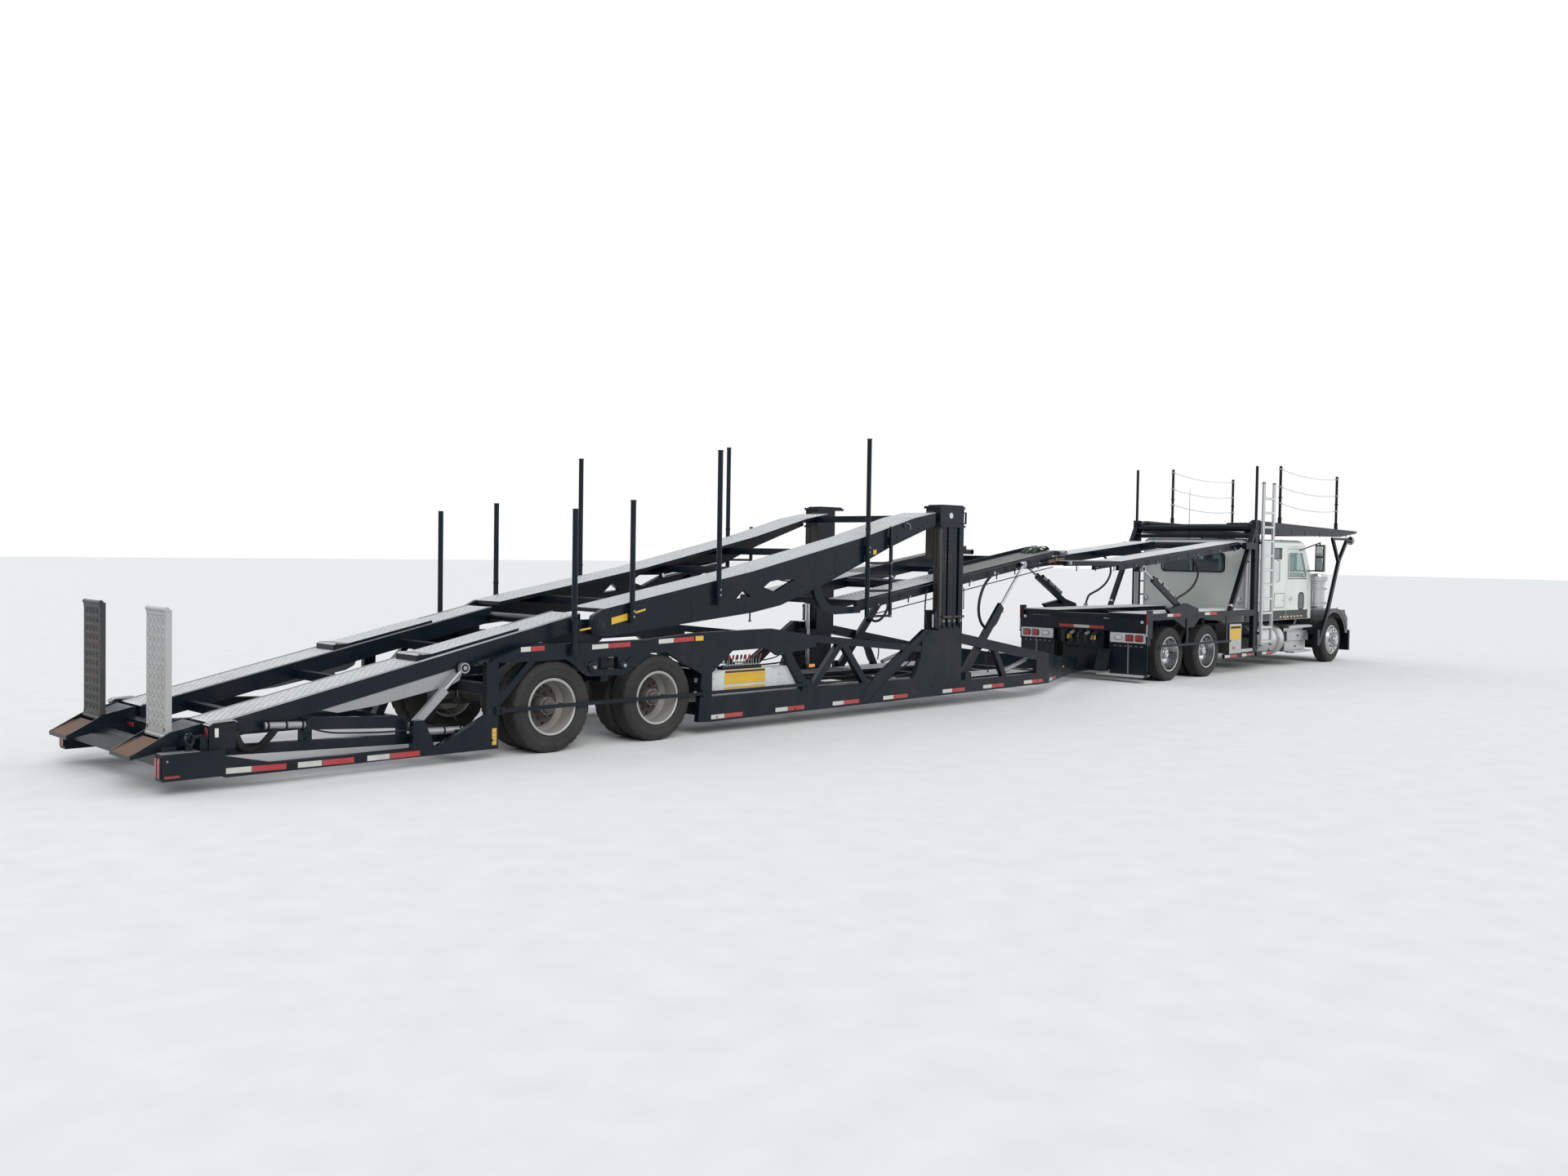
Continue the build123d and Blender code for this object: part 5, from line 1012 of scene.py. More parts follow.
def build_towers():
    t = Piece("tower_lock_columns", "trailer", "structure_paint")
    for _ in t.sides():
        for column in COLUMNS:
            x = TOWER_X0 + column
            t.box((x - 0.03, x + 0.03), (SIDE_OUT - 0.01, SIDE_OUT + 0.0032), (TOWER_Z0 + 0.14, TOWER_Z1 - 0.3),
                PAINT, 0.0015)
            # Dark discs of painted shade stand in for the pin holes up each column
            for k in range(21):
                z = TOWER_Z0 + 0.205 + k * 0.061
                t.disc((x, SIDE_OUT + 0.003, z), OUT, 0.0145, 0.001, 12, HOLE_SHADOW)
        # Locking collars with their pins
        for a, b in ((0.07, 0.262), (0.3, 0.524)):
            t.box((TOWER_X0 + a, TOWER_X0 + b), (SIDE_OUT - 0.004, HALF + 0.03), (1.246, 1.276), BROWN, 0.004)
            t.tube((TOWER_X0 + a - 0.01, HALF + 0.018, 1.262), (TOWER_X0 + b + 0.012, HALF + 0.018, 1.262), 0.013, 12,
                BROWN)
        for column in COLUMNS:
            t.bolt((TOWER_X0 + column, SIDE_OUT, 1.205), OUT, 0.012, 0.026, CHROME)
            t.box((TOWER_X0 + column - 0.028, TOWER_X0 + column + 0.028), (SIDE_OUT, SIDE_OUT + 0.018),
                (1.105, 1.175), PAINT, 0.004)
        # Greased, rusty channel at the rear face
        t.box((TOWER_X0 - 0.006, TOWER_X0 + 0.001), (SIDE_IN - 0.036, SIDE_OUT - 0.004),
            (TOWER_Z0 + 0.1, TOWER_Z1 - 0.3), BROWN)
        t.box((TOWER_X0 - 0.006, TOWER_X0 + 0.001), (SIDE_IN - 0.182, SIDE_IN - 0.046), (2.052, TOWER_Z1 - 0.06),
            BROWN)
        t.box((TOWER_X0 + 0.002, TOWER_X0 + 0.052), (SIDE_OUT - 0.004, SIDE_OUT + 0.0025),
            (TOWER_Z0 + 0.14, TOWER_Z1 - 0.3), BROWN)
        for y in (1.196, 1.262):
            t.box((TOWER_X0 - 0.012, TOWER_X0 - 0.004), (y, y + 0.012), (TOWER_Z0 + 0.12, 2.47), BROWN)
        # Round white plate, left blank, on the head box
        t.cap((6.633, SIDE_OUT, 2.662), OUT, [(0.047, 0), (0.047, 0.004), (0.041, 0.006), (0.039, 0.004)], 32,
            [PAINT, PAINT, PAINT, BOX_PAINT, BOX_PAINT])
        for x in (TOWER_X0 + 0.045, TOWER_X1 - 0.045):
            for z in (TOWER_Z1 - 0.235, TOWER_Z1 - 0.075):
                t.bolt((x, SIDE_OUT, z), OUT, 0.009, 0.008, PAINT)
        # Plate on the head
        t.box((TOWER_X0 + 0.055, TOWER_X1 - 0.015), (SIDE_IN - 0.195, HALF - 0.002), (TOWER_Z1, TOWER_Z1 + 0.02),
            PAINT, 0.004)
        # Feed hoses and small valve at the rear foot
        t.pipe([(6.36, 1.1, 1.66), (6.3, 1.12, 1.45), (6.27, 1.15, 1.25), (6.31, 1.17, 1.1), (6.38, 1.18, 1.06)],
            0.011, 8, RUBBER)
        t.box((6.34, 6.398), (1.18, 1.275), (1.1, 1.34), PAINT, 0.006)
        t.tube((6.33, 1.24, 1.12), (6.33, 1.24, 1.3), 0.014, 12, CHROME)
        # Low grab handle ahead of the tower
        t.pipe([(TOWER_X1 - 0.01, 1.26, 1.66), (TOWER_X1 + 0.055, 1.26, 1.66), (TOWER_X1 + 0.055, 1.26, 1.36),
            (TOWER_X1 - 0.01, 1.26, 1.36)], 0.008, 8, PAINT, straight=True)
    # Bare lift rod beside the left tower's lower leg
    t.tube((6.28, 1.1, 0.42), (6.28, 1.1, 1.36), 0.038, 20, CHROME)
    t.cap((6.28, 1.1, 0.335), UP, [(0.062, 0), (0.062, 0.1), (0.05, 0.12)], 20, PAINT)
    t.done()
    stain = Piece("tower_red_stains", "trailer", "structure_paint")
    for _ in stain.sides():
        for x, z0, z1 in ((0.073, 1.98, 2.2), (0.08, 1.86, 1.99), (0.192, 2.02, 2.16)):
            stain.box((TOWER_X0 + x, TOWER_X0 + x + 0.008), (SIDE_OUT + 0.003, SIDE_OUT + 0.0042), (z0, z1), RED_LEAD,
                0.0003)
            stain.box((TOWER_X0 + x + 0.042, TOWER_X0 + x + 0.052), (SIDE_OUT + 0.003, SIDE_OUT + 0.0042),
                (z0 + 0.02, z1 - 0.03), RED_LEAD, 0.0003)
    stain.done()


def build_control_box():
    c = Piece("control_levers", "trailer", "box_paint")
    y = -SIDE_IN - 0.005
    # Valve bank and its fourteen levers, red and black by turns
    c.box((2.46, 3.1), (y + 0.02, y + 0.12), (0.728, 0.77), PAINT, 0.006)
    for k in range(14):
        x = 2.5 + k * 0.0435
        lean = 0.012 * sin(k * 2.1)
        c.tube((x, y + 0.05, 0.765), (x + lean, y + 0.03, 0.85), 0.0055, 8, GALV)
        c.cap((x + lean, y + 0.03, 0.846), (lean, -0.012, 0.06), [(0.0105, 0), (0.0125, 0.012), (0.0125, 0.045),
            (0.008, 0.056)], 12, RED_GRIP if k % 2 else BLACK_TRIM)
        c.box((x - 0.014, x + 0.014), (y + 0.03, y + 0.085), (0.768, 0.784), GALV, 0.003)
    # Blank yellow instruction plate with a plain black band, and a strip under it
    c.box((2.47, 3.14), (y - 0.003, y + 0.001), (0.56, 0.725), YELLOW, 0.001)
    c.box((2.48, 3.13), (y - 0.0042, y - 0.002), (0.694, 0.718), BLACK_TRIM, 0.0004)
    for k in range(15):
        c.box((2.5 + k * 0.043, 2.502 + k * 0.043), (y - 0.0042, y - 0.002), (0.64, 0.69), BLACK_TRIM, 0.0003)
    c.box((2.47, 3.14), (y - 0.003, y + 0.001), (0.505, 0.53), YELLOW, 0.001)
    # Hinges, latches and rolled edge of the cover
    for x in (2.36, 3.3):
        c.tube((x - 0.05, y - 0.004, 0.722), (x + 0.05, y - 0.004, 0.722), 0.007, 10, BOX_PAINT)
        c.box((x - 0.028, x + 0.028), (y - 0.012, y + 0.001), (0.395 + 0.02 * (x > 3), 0.43 + 0.02 * (x > 3)), GALV,
            0.003)
    c.box((2.215, 2.245), (y - 0.004, y + 0.155), (0.455, 0.73), BOX_PAINT, 0.004)
    for x, z in ((2.3, 0.64), (2.3, 0.5), (3.38, 0.64), (3.46, 0.5)):
        c.bolt((x, y, z), (0, -1, 0), 0.007, 0.006, GALV)
    c.done()


def build_upper_deck_fittings():
    u = Piece("upper_deck_fittings", "upper_deck_body", "deck_paint")
    for _ in u.sides():
        # Pivot boss with its cap and bolts
        u.cap((0.57, SIDE_OUT - 0.004, 1.3), OUT, [(0.085, 0), (0.085, 0.012), (0.06, 0.018), (0.056, 0.03),
            (0.03, 0.034)], 32, DECK)
        for k in range(6):
            a = pi * k / 3
            u.bolt((0.57 + 0.071 * cos(a), SIDE_OUT + 0.008, 1.3 + 0.071 * sin(a)), OUT, 0.007, 0.006, DECK)
        # Yellow plates, blank
        u.plate([(0.745, 1.318), (0.965, 1.362), (0.965, 1.436), (0.745, 1.392)], SIDE_OUT - 0.002, SIDE_OUT + 0.0018,
            YELLOW)
        u.plate([(0.335, 1.262), (0.47, 1.28), (0.47, 1.297), (0.335, 1.279)], SIDE_OUT - 0.022, SIDE_OUT + 0.0018,
            YELLOW)
        u.plate([(1.07, 1.43), (1.215, 1.462), (1.215, 1.484), (1.07, 1.452)], SIDE_OUT - 0.002, SIDE_OUT + 0.0018,
            YELLOW)
        u.box((5.01, 5.075), (SIDE_OUT - 0.002, SIDE_OUT + 0.0018), (2.11, 2.172), YELLOW, 0.0008)
        # Flanges along the beam, folded out a little
        top = ((0.645, 1.484), (2.83, 1.884), (4.81, 2.324), (5.85, 2.604), (6.285, 2.684))
        low = ((0.715, 1.198), (2.84, 1.404), (3.32, 1.484), (4.09, 1.734), (4.84, 2.014), (5.35, 2.214),
            (5.86, 2.384), (6.285, 2.522))
        for line, lift in ((top, -0.014), (low, 0.0)):
            for (xa, za), (xb, zb) in zip(line, line[1:]):
                u.plate([(xa, za + lift), (xb, zb + lift), (xb, zb + lift + 0.014), (xa, za + lift + 0.014)],
                    SIDE_OUT - 0.01, SIDE_OUT + 0.0045, DECK)
        # Stiffener bands and bolt groups
        for x, z0, z1 in ((1.9, 1.335, 1.69), (4.3, 1.85, 2.19), (5.5, 2.3, 2.49)):
            u.box((x - 0.02, x + 0.02), (SIDE_OUT - 0.004, SIDE_OUT + 0.003), (z0, z1), DECK, 0.001)
        u.bolts(((2.62, 1.47), (2.72, 1.47), (3.42, 1.6), (3.5, 1.66), (3.7, 1.7), (3.7, 1.86), (4.2, 1.86),
            (5.93, 2.47), (6.02, 2.5), (6.12, 2.56), (0.86, 1.25), (1.0, 1.27)), SIDE_OUT - 0.001, 0.011, 0.009, DECK)
        # Edge of the two openings
        for ring in (((3.02, 1.7), (3.22, 1.64), (3.56, 1.79), (3.16, 1.79)),
                ((2.56, 1.56), (2.82, 1.59), (2.7, 1.68))):
            loop = [(x, SIDE_OUT + 0.001, z) for x, z in ring]
            u.pipe(loop + loop[:1], 0.005, 6, DECK, straight=True)
        # Clamps, caps and joint sleeves of the safety posts
        for x, zb, zt, zk in ((0.99, 1.33, 2.67, 1.38), (2.26, 1.5, 3.29, 1.6), (4.85, 1.3, 3.6, 2.12)):
            y = HALF + 0.042
            u.tube((x, y, zk - 0.01), (x, y, zk + 0.11), 0.038, 20, DECK)
            u.lathe((x, y, zt - 0.015), UP, [(0.0302, 0), (0.034, 0.003), (0.034, 0.012), (0.028, 0.015), (0, 0.015)],
                20, RUBBER)
            u.tube((x, y, zk + 0.3), (x, y, zk + 0.335), 0.034, 20, DECK)
            for z in (zk + 0.02, zk + 0.08):
                u.bolt((x, y + 0.036, z), OUT, 0.008, 0.008, GALV)
        # Rub strips and end bolts of the hung ladder
        for z in (1.31, 1.64, 1.83, 2.0):
            u.tube((4.872, HALF + 0.042, z), (5.3, HALF + 0.042, z), 0.0165, 12, DECK)
            u.bolt((5.31, HALF + 0.057, z), OUT, 0.009, 0.008, GALV)
        # Roller and latch where the deck meets its tower
        u.cap((5.62, SIDE_OUT - 0.001, 2.5), OUT, [(0.03, 0), (0.03, 0.01), (0.018, 0.016)], 20, DECK)
        u.pipe([(5.66, SIDE_OUT + 0.004, 2.54), (5.72, SIDE_OUT + 0.01, 2.53), (5.75, SIDE_OUT + 0.01, 2.49),
            (5.74, SIDE_OUT + 0.006, 2.45)], 0.006, 8, GALV)
        # Cylinder and hose seen between the beams
        u.tube((3.4, 1.02, 1.79), (4.2, 1.02, 1.935), 0.032, 18, CHROME)
        u.tube((4.18, 1.02, 1.931), (4.36, 1.02, 1.963), 0.017, 14, CHROME)
        u.pipe([(3.42, 1.05, 1.82), (3.6, 1.07, 1.74), (3.95, 1.07, 1.82), (4.15, 1.05, 1.93)], 0.009, 8, RUBBER)
        # Hung drain latch under the beam near the wheels
        u.tube((2.84, 1.25, 1.31), (2.84, 1.25, 1.412), 0.01, 10, DECK)
        u.lathe((2.84, 1.25, 1.29), UP, [(0, 0), (0.02, 0.006), (0.02, 0.018), (0, 0.024)], 14, DECK)
    u.done()


def build_strap_heap():
    s = Piece("strap_heap", "front_deck_body")
    for side, x0 in ((-1, 9.1), (1, 9.18)):
        for k in range(5):
            y = side * (0.74 + 0.055 * k)
            high = 0.05 + 0.022 * sin(1.7 * k + 0.4)
            xa, xb = x0 + 0.04 * sin(2.3 * k), x0 + 0.4 + 0.05 * cos(1.9 * k)
            base = 2.151 + (xa - 9.1) * FRONT_SLOPE
            s.ribbon([(xa, y, base + 0.012), (xa + 0.1, y, base + high + 0.02),
                (xa + 0.22, y + 0.015 * side, base + high + 0.055), (xb - 0.06, y, base + high + 0.045),
                (xb, y, base + 0.075), (xb - 0.05, y, base + 0.06), (xb - 0.2, y - 0.01 * side, base + 0.052),
                (xa + 0.05, y, base + 0.022)], 0.05, 0.005, WEBBING)
            s.ribbon([(xa + 0.06, y + 0.02, base + 0.03), (xa + 0.16, y + 0.02, base + high + 0.035),
                (xb - 0.1, y + 0.02, base + high + 0.03), (xb - 0.02, y + 0.02, base + 0.07)], 0.045, 0.004, WEBBING)
        s.box((x0 + 0.16, x0 + 0.26), (side * 0.8, side * 0.87), (2.235, 2.262), GALV, 0.004)
        s.tube((x0 + 0.19, side * 0.785, 2.252), (x0 + 0.19, side * 0.885, 2.252), 0.009, 10, GALV)
    s.done()


# ---------- front upper deck, truck decks and head rack ----------
def build_deck_fittings():
    f = Piece("front_deck_fittings", "front_deck_body", "deck_paint")
    for _ in f.sides():
        # Pivot cap, and the rolled end with its cap
        f.cap((6.6, ARM_OUT, 1.69), OUT, [(0.05, 0), (0.05, 0.008), (0.03, 0.012)], 24, DECK)
        f.cap((9.64, ARM_OUT - 0.002, 2.168), OUT, [(0.04, 0), (0.04, 0.004), (0.022, 0.006), (0.018, 0.001)], 28,
            DECK)
        f.tube((9.64, RUN_IN, 2.168), (9.64, ARM_OUT, 2.168), 0.0425, 24, GALV)
        # Lip and bolts along the beam
        for x in (5.2, 5.85, 7.2, 7.85, 8.3, 8.9, 9.35):
            z = front_z(x)
            f.box((x - 0.012, x + 0.012), (ARM_OUT - 0.004, ARM_OUT + 0.003), (z - 0.185, z - 0.055), DECK, 0.001)
            f.bolt((x + 0.04, ARM_OUT, z - 0.105), OUT, 0.009, 0.006, GALV)
        for lift in (-0.024, -0.226):
            f.plate([(5.05, front_z(5.05) + lift), (9.3, 2.178 + lift), (9.3, 2.19 + lift),
                (5.05, front_z(5.05) + 0.012 + lift)], ARM_OUT - 0.01, ARM_OUT + 0.003, DECK)
        f.plate([(9.18, 2.01), (9.6, 2.075), (9.6, 2.1), (9.18, 2.06)], ARM_OUT - 0.002, ARM_OUT + 0.0018, RUSTY)
        # Cap over the strut's pin
        f.cap((8.56, ARM_OUT - 0.004, 1.99), OUT, [(0.026, 0), (0.026, 0.004), (0.016, 0.007)], 20, GALV)
    f.done()

    k = Piece("truck_deck_fittings", "truck_deck_body", "deck_paint")
    for _ in k.sides():
        for x in (9.95, 10.5, 11.05, 11.7, 12.4, 13.1, 13.8, 14.6, 15.2):
            z = 2.042 + max(0, x - 11.34) * 0.0925
            k.box((x - 0.012, x + 0.012), (ARM_OUT - 0.004, ARM_OUT + 0.003), (z - 0.15, z - 0.05), DECK, 0.001)
            k.bolt((x + 0.05, ARM_OUT, z - 0.095), OUT, 0.009, 0.006, GALV)
        for xa, za, xb, zb in ((9.82, 2.03, 11.34, 2.036), (11.36, 2.034, 15.48, 2.414)):
            k.plate([(xa, za - 0.012), (xb, zb - 0.012), (xb, zb), (xa, za)], ARM_OUT - 0.01, ARM_OUT + 0.003, DECK)
        k.cap((9.8, ARM_OUT - 0.03, 2.015), OUT, [(0.028, 0), (0.028, 0.03), (0.016, 0.034)], 20, GALV)
    k.done()

    h = Piece("head_rack_fittings", "head_rack_body", "rack_paint")
    for _ in h.sides():
        for x in (16.4, 17.0, 17.6, 18.2, 18.9, 19.5, 20.2):
            z = 2.7 - (x - 16.06) * 0.0203
            h.box((x - 0.01, x + 0.01), (ARM_OUT - 0.01, ARM_OUT - 0.002), (z - 0.06, z + 0.04), RACK, 0.001)
        # Post caps, sleeves and clamps
        for x, z0, z1 in ((17.15, 2.7, 3.93), (19.78, 2.65, 3.85)):
            h.tube((x, POST_Y, z0 + 0.1), (x, POST_Y, z0 + 0.24), 0.036, 20, RACK)
            h.tube((x, POST_Y, z0 + 0.6), (x, POST_Y, z0 + 0.635), 0.034, 20, RACK)
            h.lathe((x, POST_Y, z1 - 0.012), UP, [(0.0302, 0), (0.034, 0.002), (0.034, 0.009), (0.026, 0.012),
                (0, 0.012)], 20, RUBBER)
            for z in (z0 + 0.13, z0 + 0.21):
                h.bolt((x, 1.181, z), OUT, 0.008, 0.007, GALV)
        for drop in (0.06, 0.4, 0.72):
            for x, z in ((17.15, 3.93), (19.78, 3.85)):
                h.lathe((x, POST_Y, z - drop - 0.014), UP, [(0.03, 0), (0.0375, 0.002), (0.0375, 0.026),
                    (0.03, 0.028)], 16, GALV, closed=True)
                h.tube((x, 1.17, z - drop), (x, 1.19, z - drop), 0.007, 8, GALV)
        # Work lamp under the front end
        h.tube((20.56, 1.14, 2.65), (20.56, 1.14, 2.6), 0.01, 10, CHROME)
        h.lathe((20.59, 1.14, 2.53), BACK, [(0, 0), (0.055, 0.006), (0.082, 0.022), (0.086, 0.034), (0.08, 0.038),
            (0.06, 0.046), (0.03, 0.051), (0, 0.052)], 32, [RACK, RACK, RACK, RACK, MIRROR, MIRROR, MIRROR])
    for y in (-0.5, -0.25, 0.0, 0.25, 0.5):
        h.cap((20.638, y, 2.658), (1, 0, 0), [(0.03, 0), (0.028, 0.004), (0.014, 0.005)], 20, AMBER_LENS)
    h.done()


# Each hose runs from the chassis at its foot to the deck at its head
def build_hoses():
    for tag, side in (("left", 1), ("right", -1)):
        y = side * 1.085
        hose = Piece(f"front_deck_hose_{tag}")
        hose.pipe([(7.93, y, 1.86), (7.82, y, 1.8), (7.66, y, 1.64), (7.565, y, 1.4), (7.6, y, 1.18), (7.74, y, 1.05),
            (7.92, y, 1.06), (8.06, y, 1.18), (8.12, y, 1.3)], 0.021, 12, RUBBER, 12)
        for x, z in ((7.93, 1.86), (8.12, 1.3)):
            hose.box((x - 0.032, x + 0.032), (y - 0.03, y + 0.03), (z - 0.026, z + 0.026), GALV, 0.006)
        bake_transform(hose.done())
        y = side * 0.9
        hose = Piece(f"truck_deck_hose_{tag}")
        hose.pipe([(13.56, y, 1.23), (13.62, y, 1.38), (13.76, y, 1.43), (14.02, y, 1.5), (14.3, y, 1.64),
            (14.44, y, 1.85), (14.33, y, 2.02), (14.2, y, 2.11), (14.08, y, 2.15)], 0.02, 12, RUBBER, 12)
        for x, z in ((13.56, 1.225), (14.08, 2.15)):
            hose.box((x - 0.03, x + 0.03), (y - 0.028, y + 0.028), (z - 0.024, z + 0.024), GALV, 0.006)
        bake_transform(hose.done())


# ---------- truck ----------
def round_lamp(p, x, y, z, wide, tall, lens, square):
    """A lamp in a rubber bezel that looks backwards; square under 1 fills its corners out."""
    for grow, out, finish in ((1.0, 0.006, RUBBER), (0.86, 0.012, lens)):
        verts = []
        for dx, g in ((0, grow), (out * 0.7, grow), (out, grow * 0.93), (out * 1.1, grow * 0.5)):
            verts += [(x - dx, y + a, z + b) for a, b in oval(g * wide / 2, g * tall / 2, 32, square)]
        p.add(verts, ring_faces(4, 32) + [list(range(96, 128)), list(range(31, -1, -1))], finish)


def build_truck_rear():
    x = TRUCK_REAR
    r = Piece("truck_rear_lamps", "truck")
    for side in r.sides():
        # Lamp panel: two reds and an inner white
        r.box((x - 0.004, x + 0.001), (0.572, 1.248), (0.672, 0.838), BOX_PAINT, 0.002)
        for y, lens, tall, square in ((1.13, RED_LENS, 0.118, 0.35), (0.945, RED_LENS, 0.118, 0.35),
                (0.73, CLEAR_LENS, 0.078, 1.0)):
            round_lamp(r, x - 0.003, side * y, 0.755, 0.158, tall, lens, square)
        for y in (0.585, 0.8, 1.01, 1.225):
            for z in (0.69, 0.822):
                r.bolt((x - 0.003, y, z), BACK, 0.006, 0.004, GALV)
        # Upright tape on the corner post
        for z0, z1, finish in ((0.79, 0.99, WHITE_TAPE), (0.995, 1.19, RED_TAPE)):
            r.box((x - 0.0118, x - 0.009), (1.263, 1.284), (z0, z1), finish, 0.0005)
        r.box((x - 0.0018, x + 0.001), (1.15, 1.2), (1.01, 1.055), WHITE_TAPE, 0.0005)
    for a, b, finish in ((-0.45, -0.16, RED_TAPE), (-0.156, 0.156, WHITE_TAPE), (0.16, 0.45, RED_TAPE)):
        r.box((x - 0.0018, x + 0.001), (a, b), (0.885, 0.935), finish, 0.0005)
    r.done()

    flaps = Piece("mud_flap_ribs", "truck", "tyre_rubber")
    for side in BOTH:
        y0, y1 = 0.61, 1.215
        for level in ((0.598, 0.636), (0.136, 0.152)):
            flaps.box((x + 0.022, x + 0.0305), (side * y0, side * y1), level, TYRE)
        for k in range(6):
            flaps.bolt((x + 0.022, side * (y0 + 0.05 + k * 0.1), 0.617), BACK, 0.009, 0.006, GALV)
        # Chain that holds the step plate up
        for k in range(19):
            z = 0.648 - k * 0.027
            wide, deep = (0.01, 0.004) if k % 2 else (0.004, 0.01)
            ring = [(x + 0.008 - deep * cos(a), side * 0.92 + wide * cos(a), z + 0.018 * sin(a))
                for a in (pi * q / 5 for q in range(11))]
            flaps.pipe(ring, 0.0028, 6, GALV, straight=True)
    flaps.done()

    c = Piece("rear_couplings", "truck")
    for k, y in enumerate((-0.3, -0.15, 0.0, 0.15, 0.3)):
        finish = GALV if k % 2 else RUBBER
        c.box((x - 0.01, x + 0.002), (y - 0.036, y + 0.036), (0.77, 0.848), PAINT, 0.004)
        c.cap((x - 0.008, y, 0.808), (-1, 0, -0.25), [(0.026, 0), (0.026, 0.02), (0.02, 0.024), (0.02, 0.052),
            (0.03, 0.056), (0.03, 0.082), (0.016, 0.09)], 20, finish)
        c.pipe([(x - 0.075, y, 0.784), (x - 0.12, y, 0.74), (x - 0.115, y - 0.02, 0.64), (x - 0.04, y - 0.03, 0.56),
            (x + 0.12, y - 0.02, 0.52), (x + 0.29, y, 0.56)], 0.011 if k % 2 else 0.014, 10, RUBBER, 10,
            0.0 if k % 2 else 0.16)
    # Dull yellow valve brackets and the slanting guard beside the stinger
    for y in (-0.255, 0.225):
        c.plate([(x - 0.05, 0.69), (x - 0.01, 0.69), (x + 0.002, 0.765), (x - 0.02, 0.765)], y - 0.038, y + 0.038,
            YELLOW)
    c.plate([(x - 0.13, 0.19), (x - 0.112, 0.186), (x + 0.012, 0.52), (x + 0.012, 0.548), (x - 0.004, 0.548)], -0.59,
        -0.35, PAINT)
    for y in (-0.57, -0.37):
        c.bolt((x - 0.01, y, 0.5), (-1, 0, 0.37), 0.009, 0.007, GALV)
    c.done()


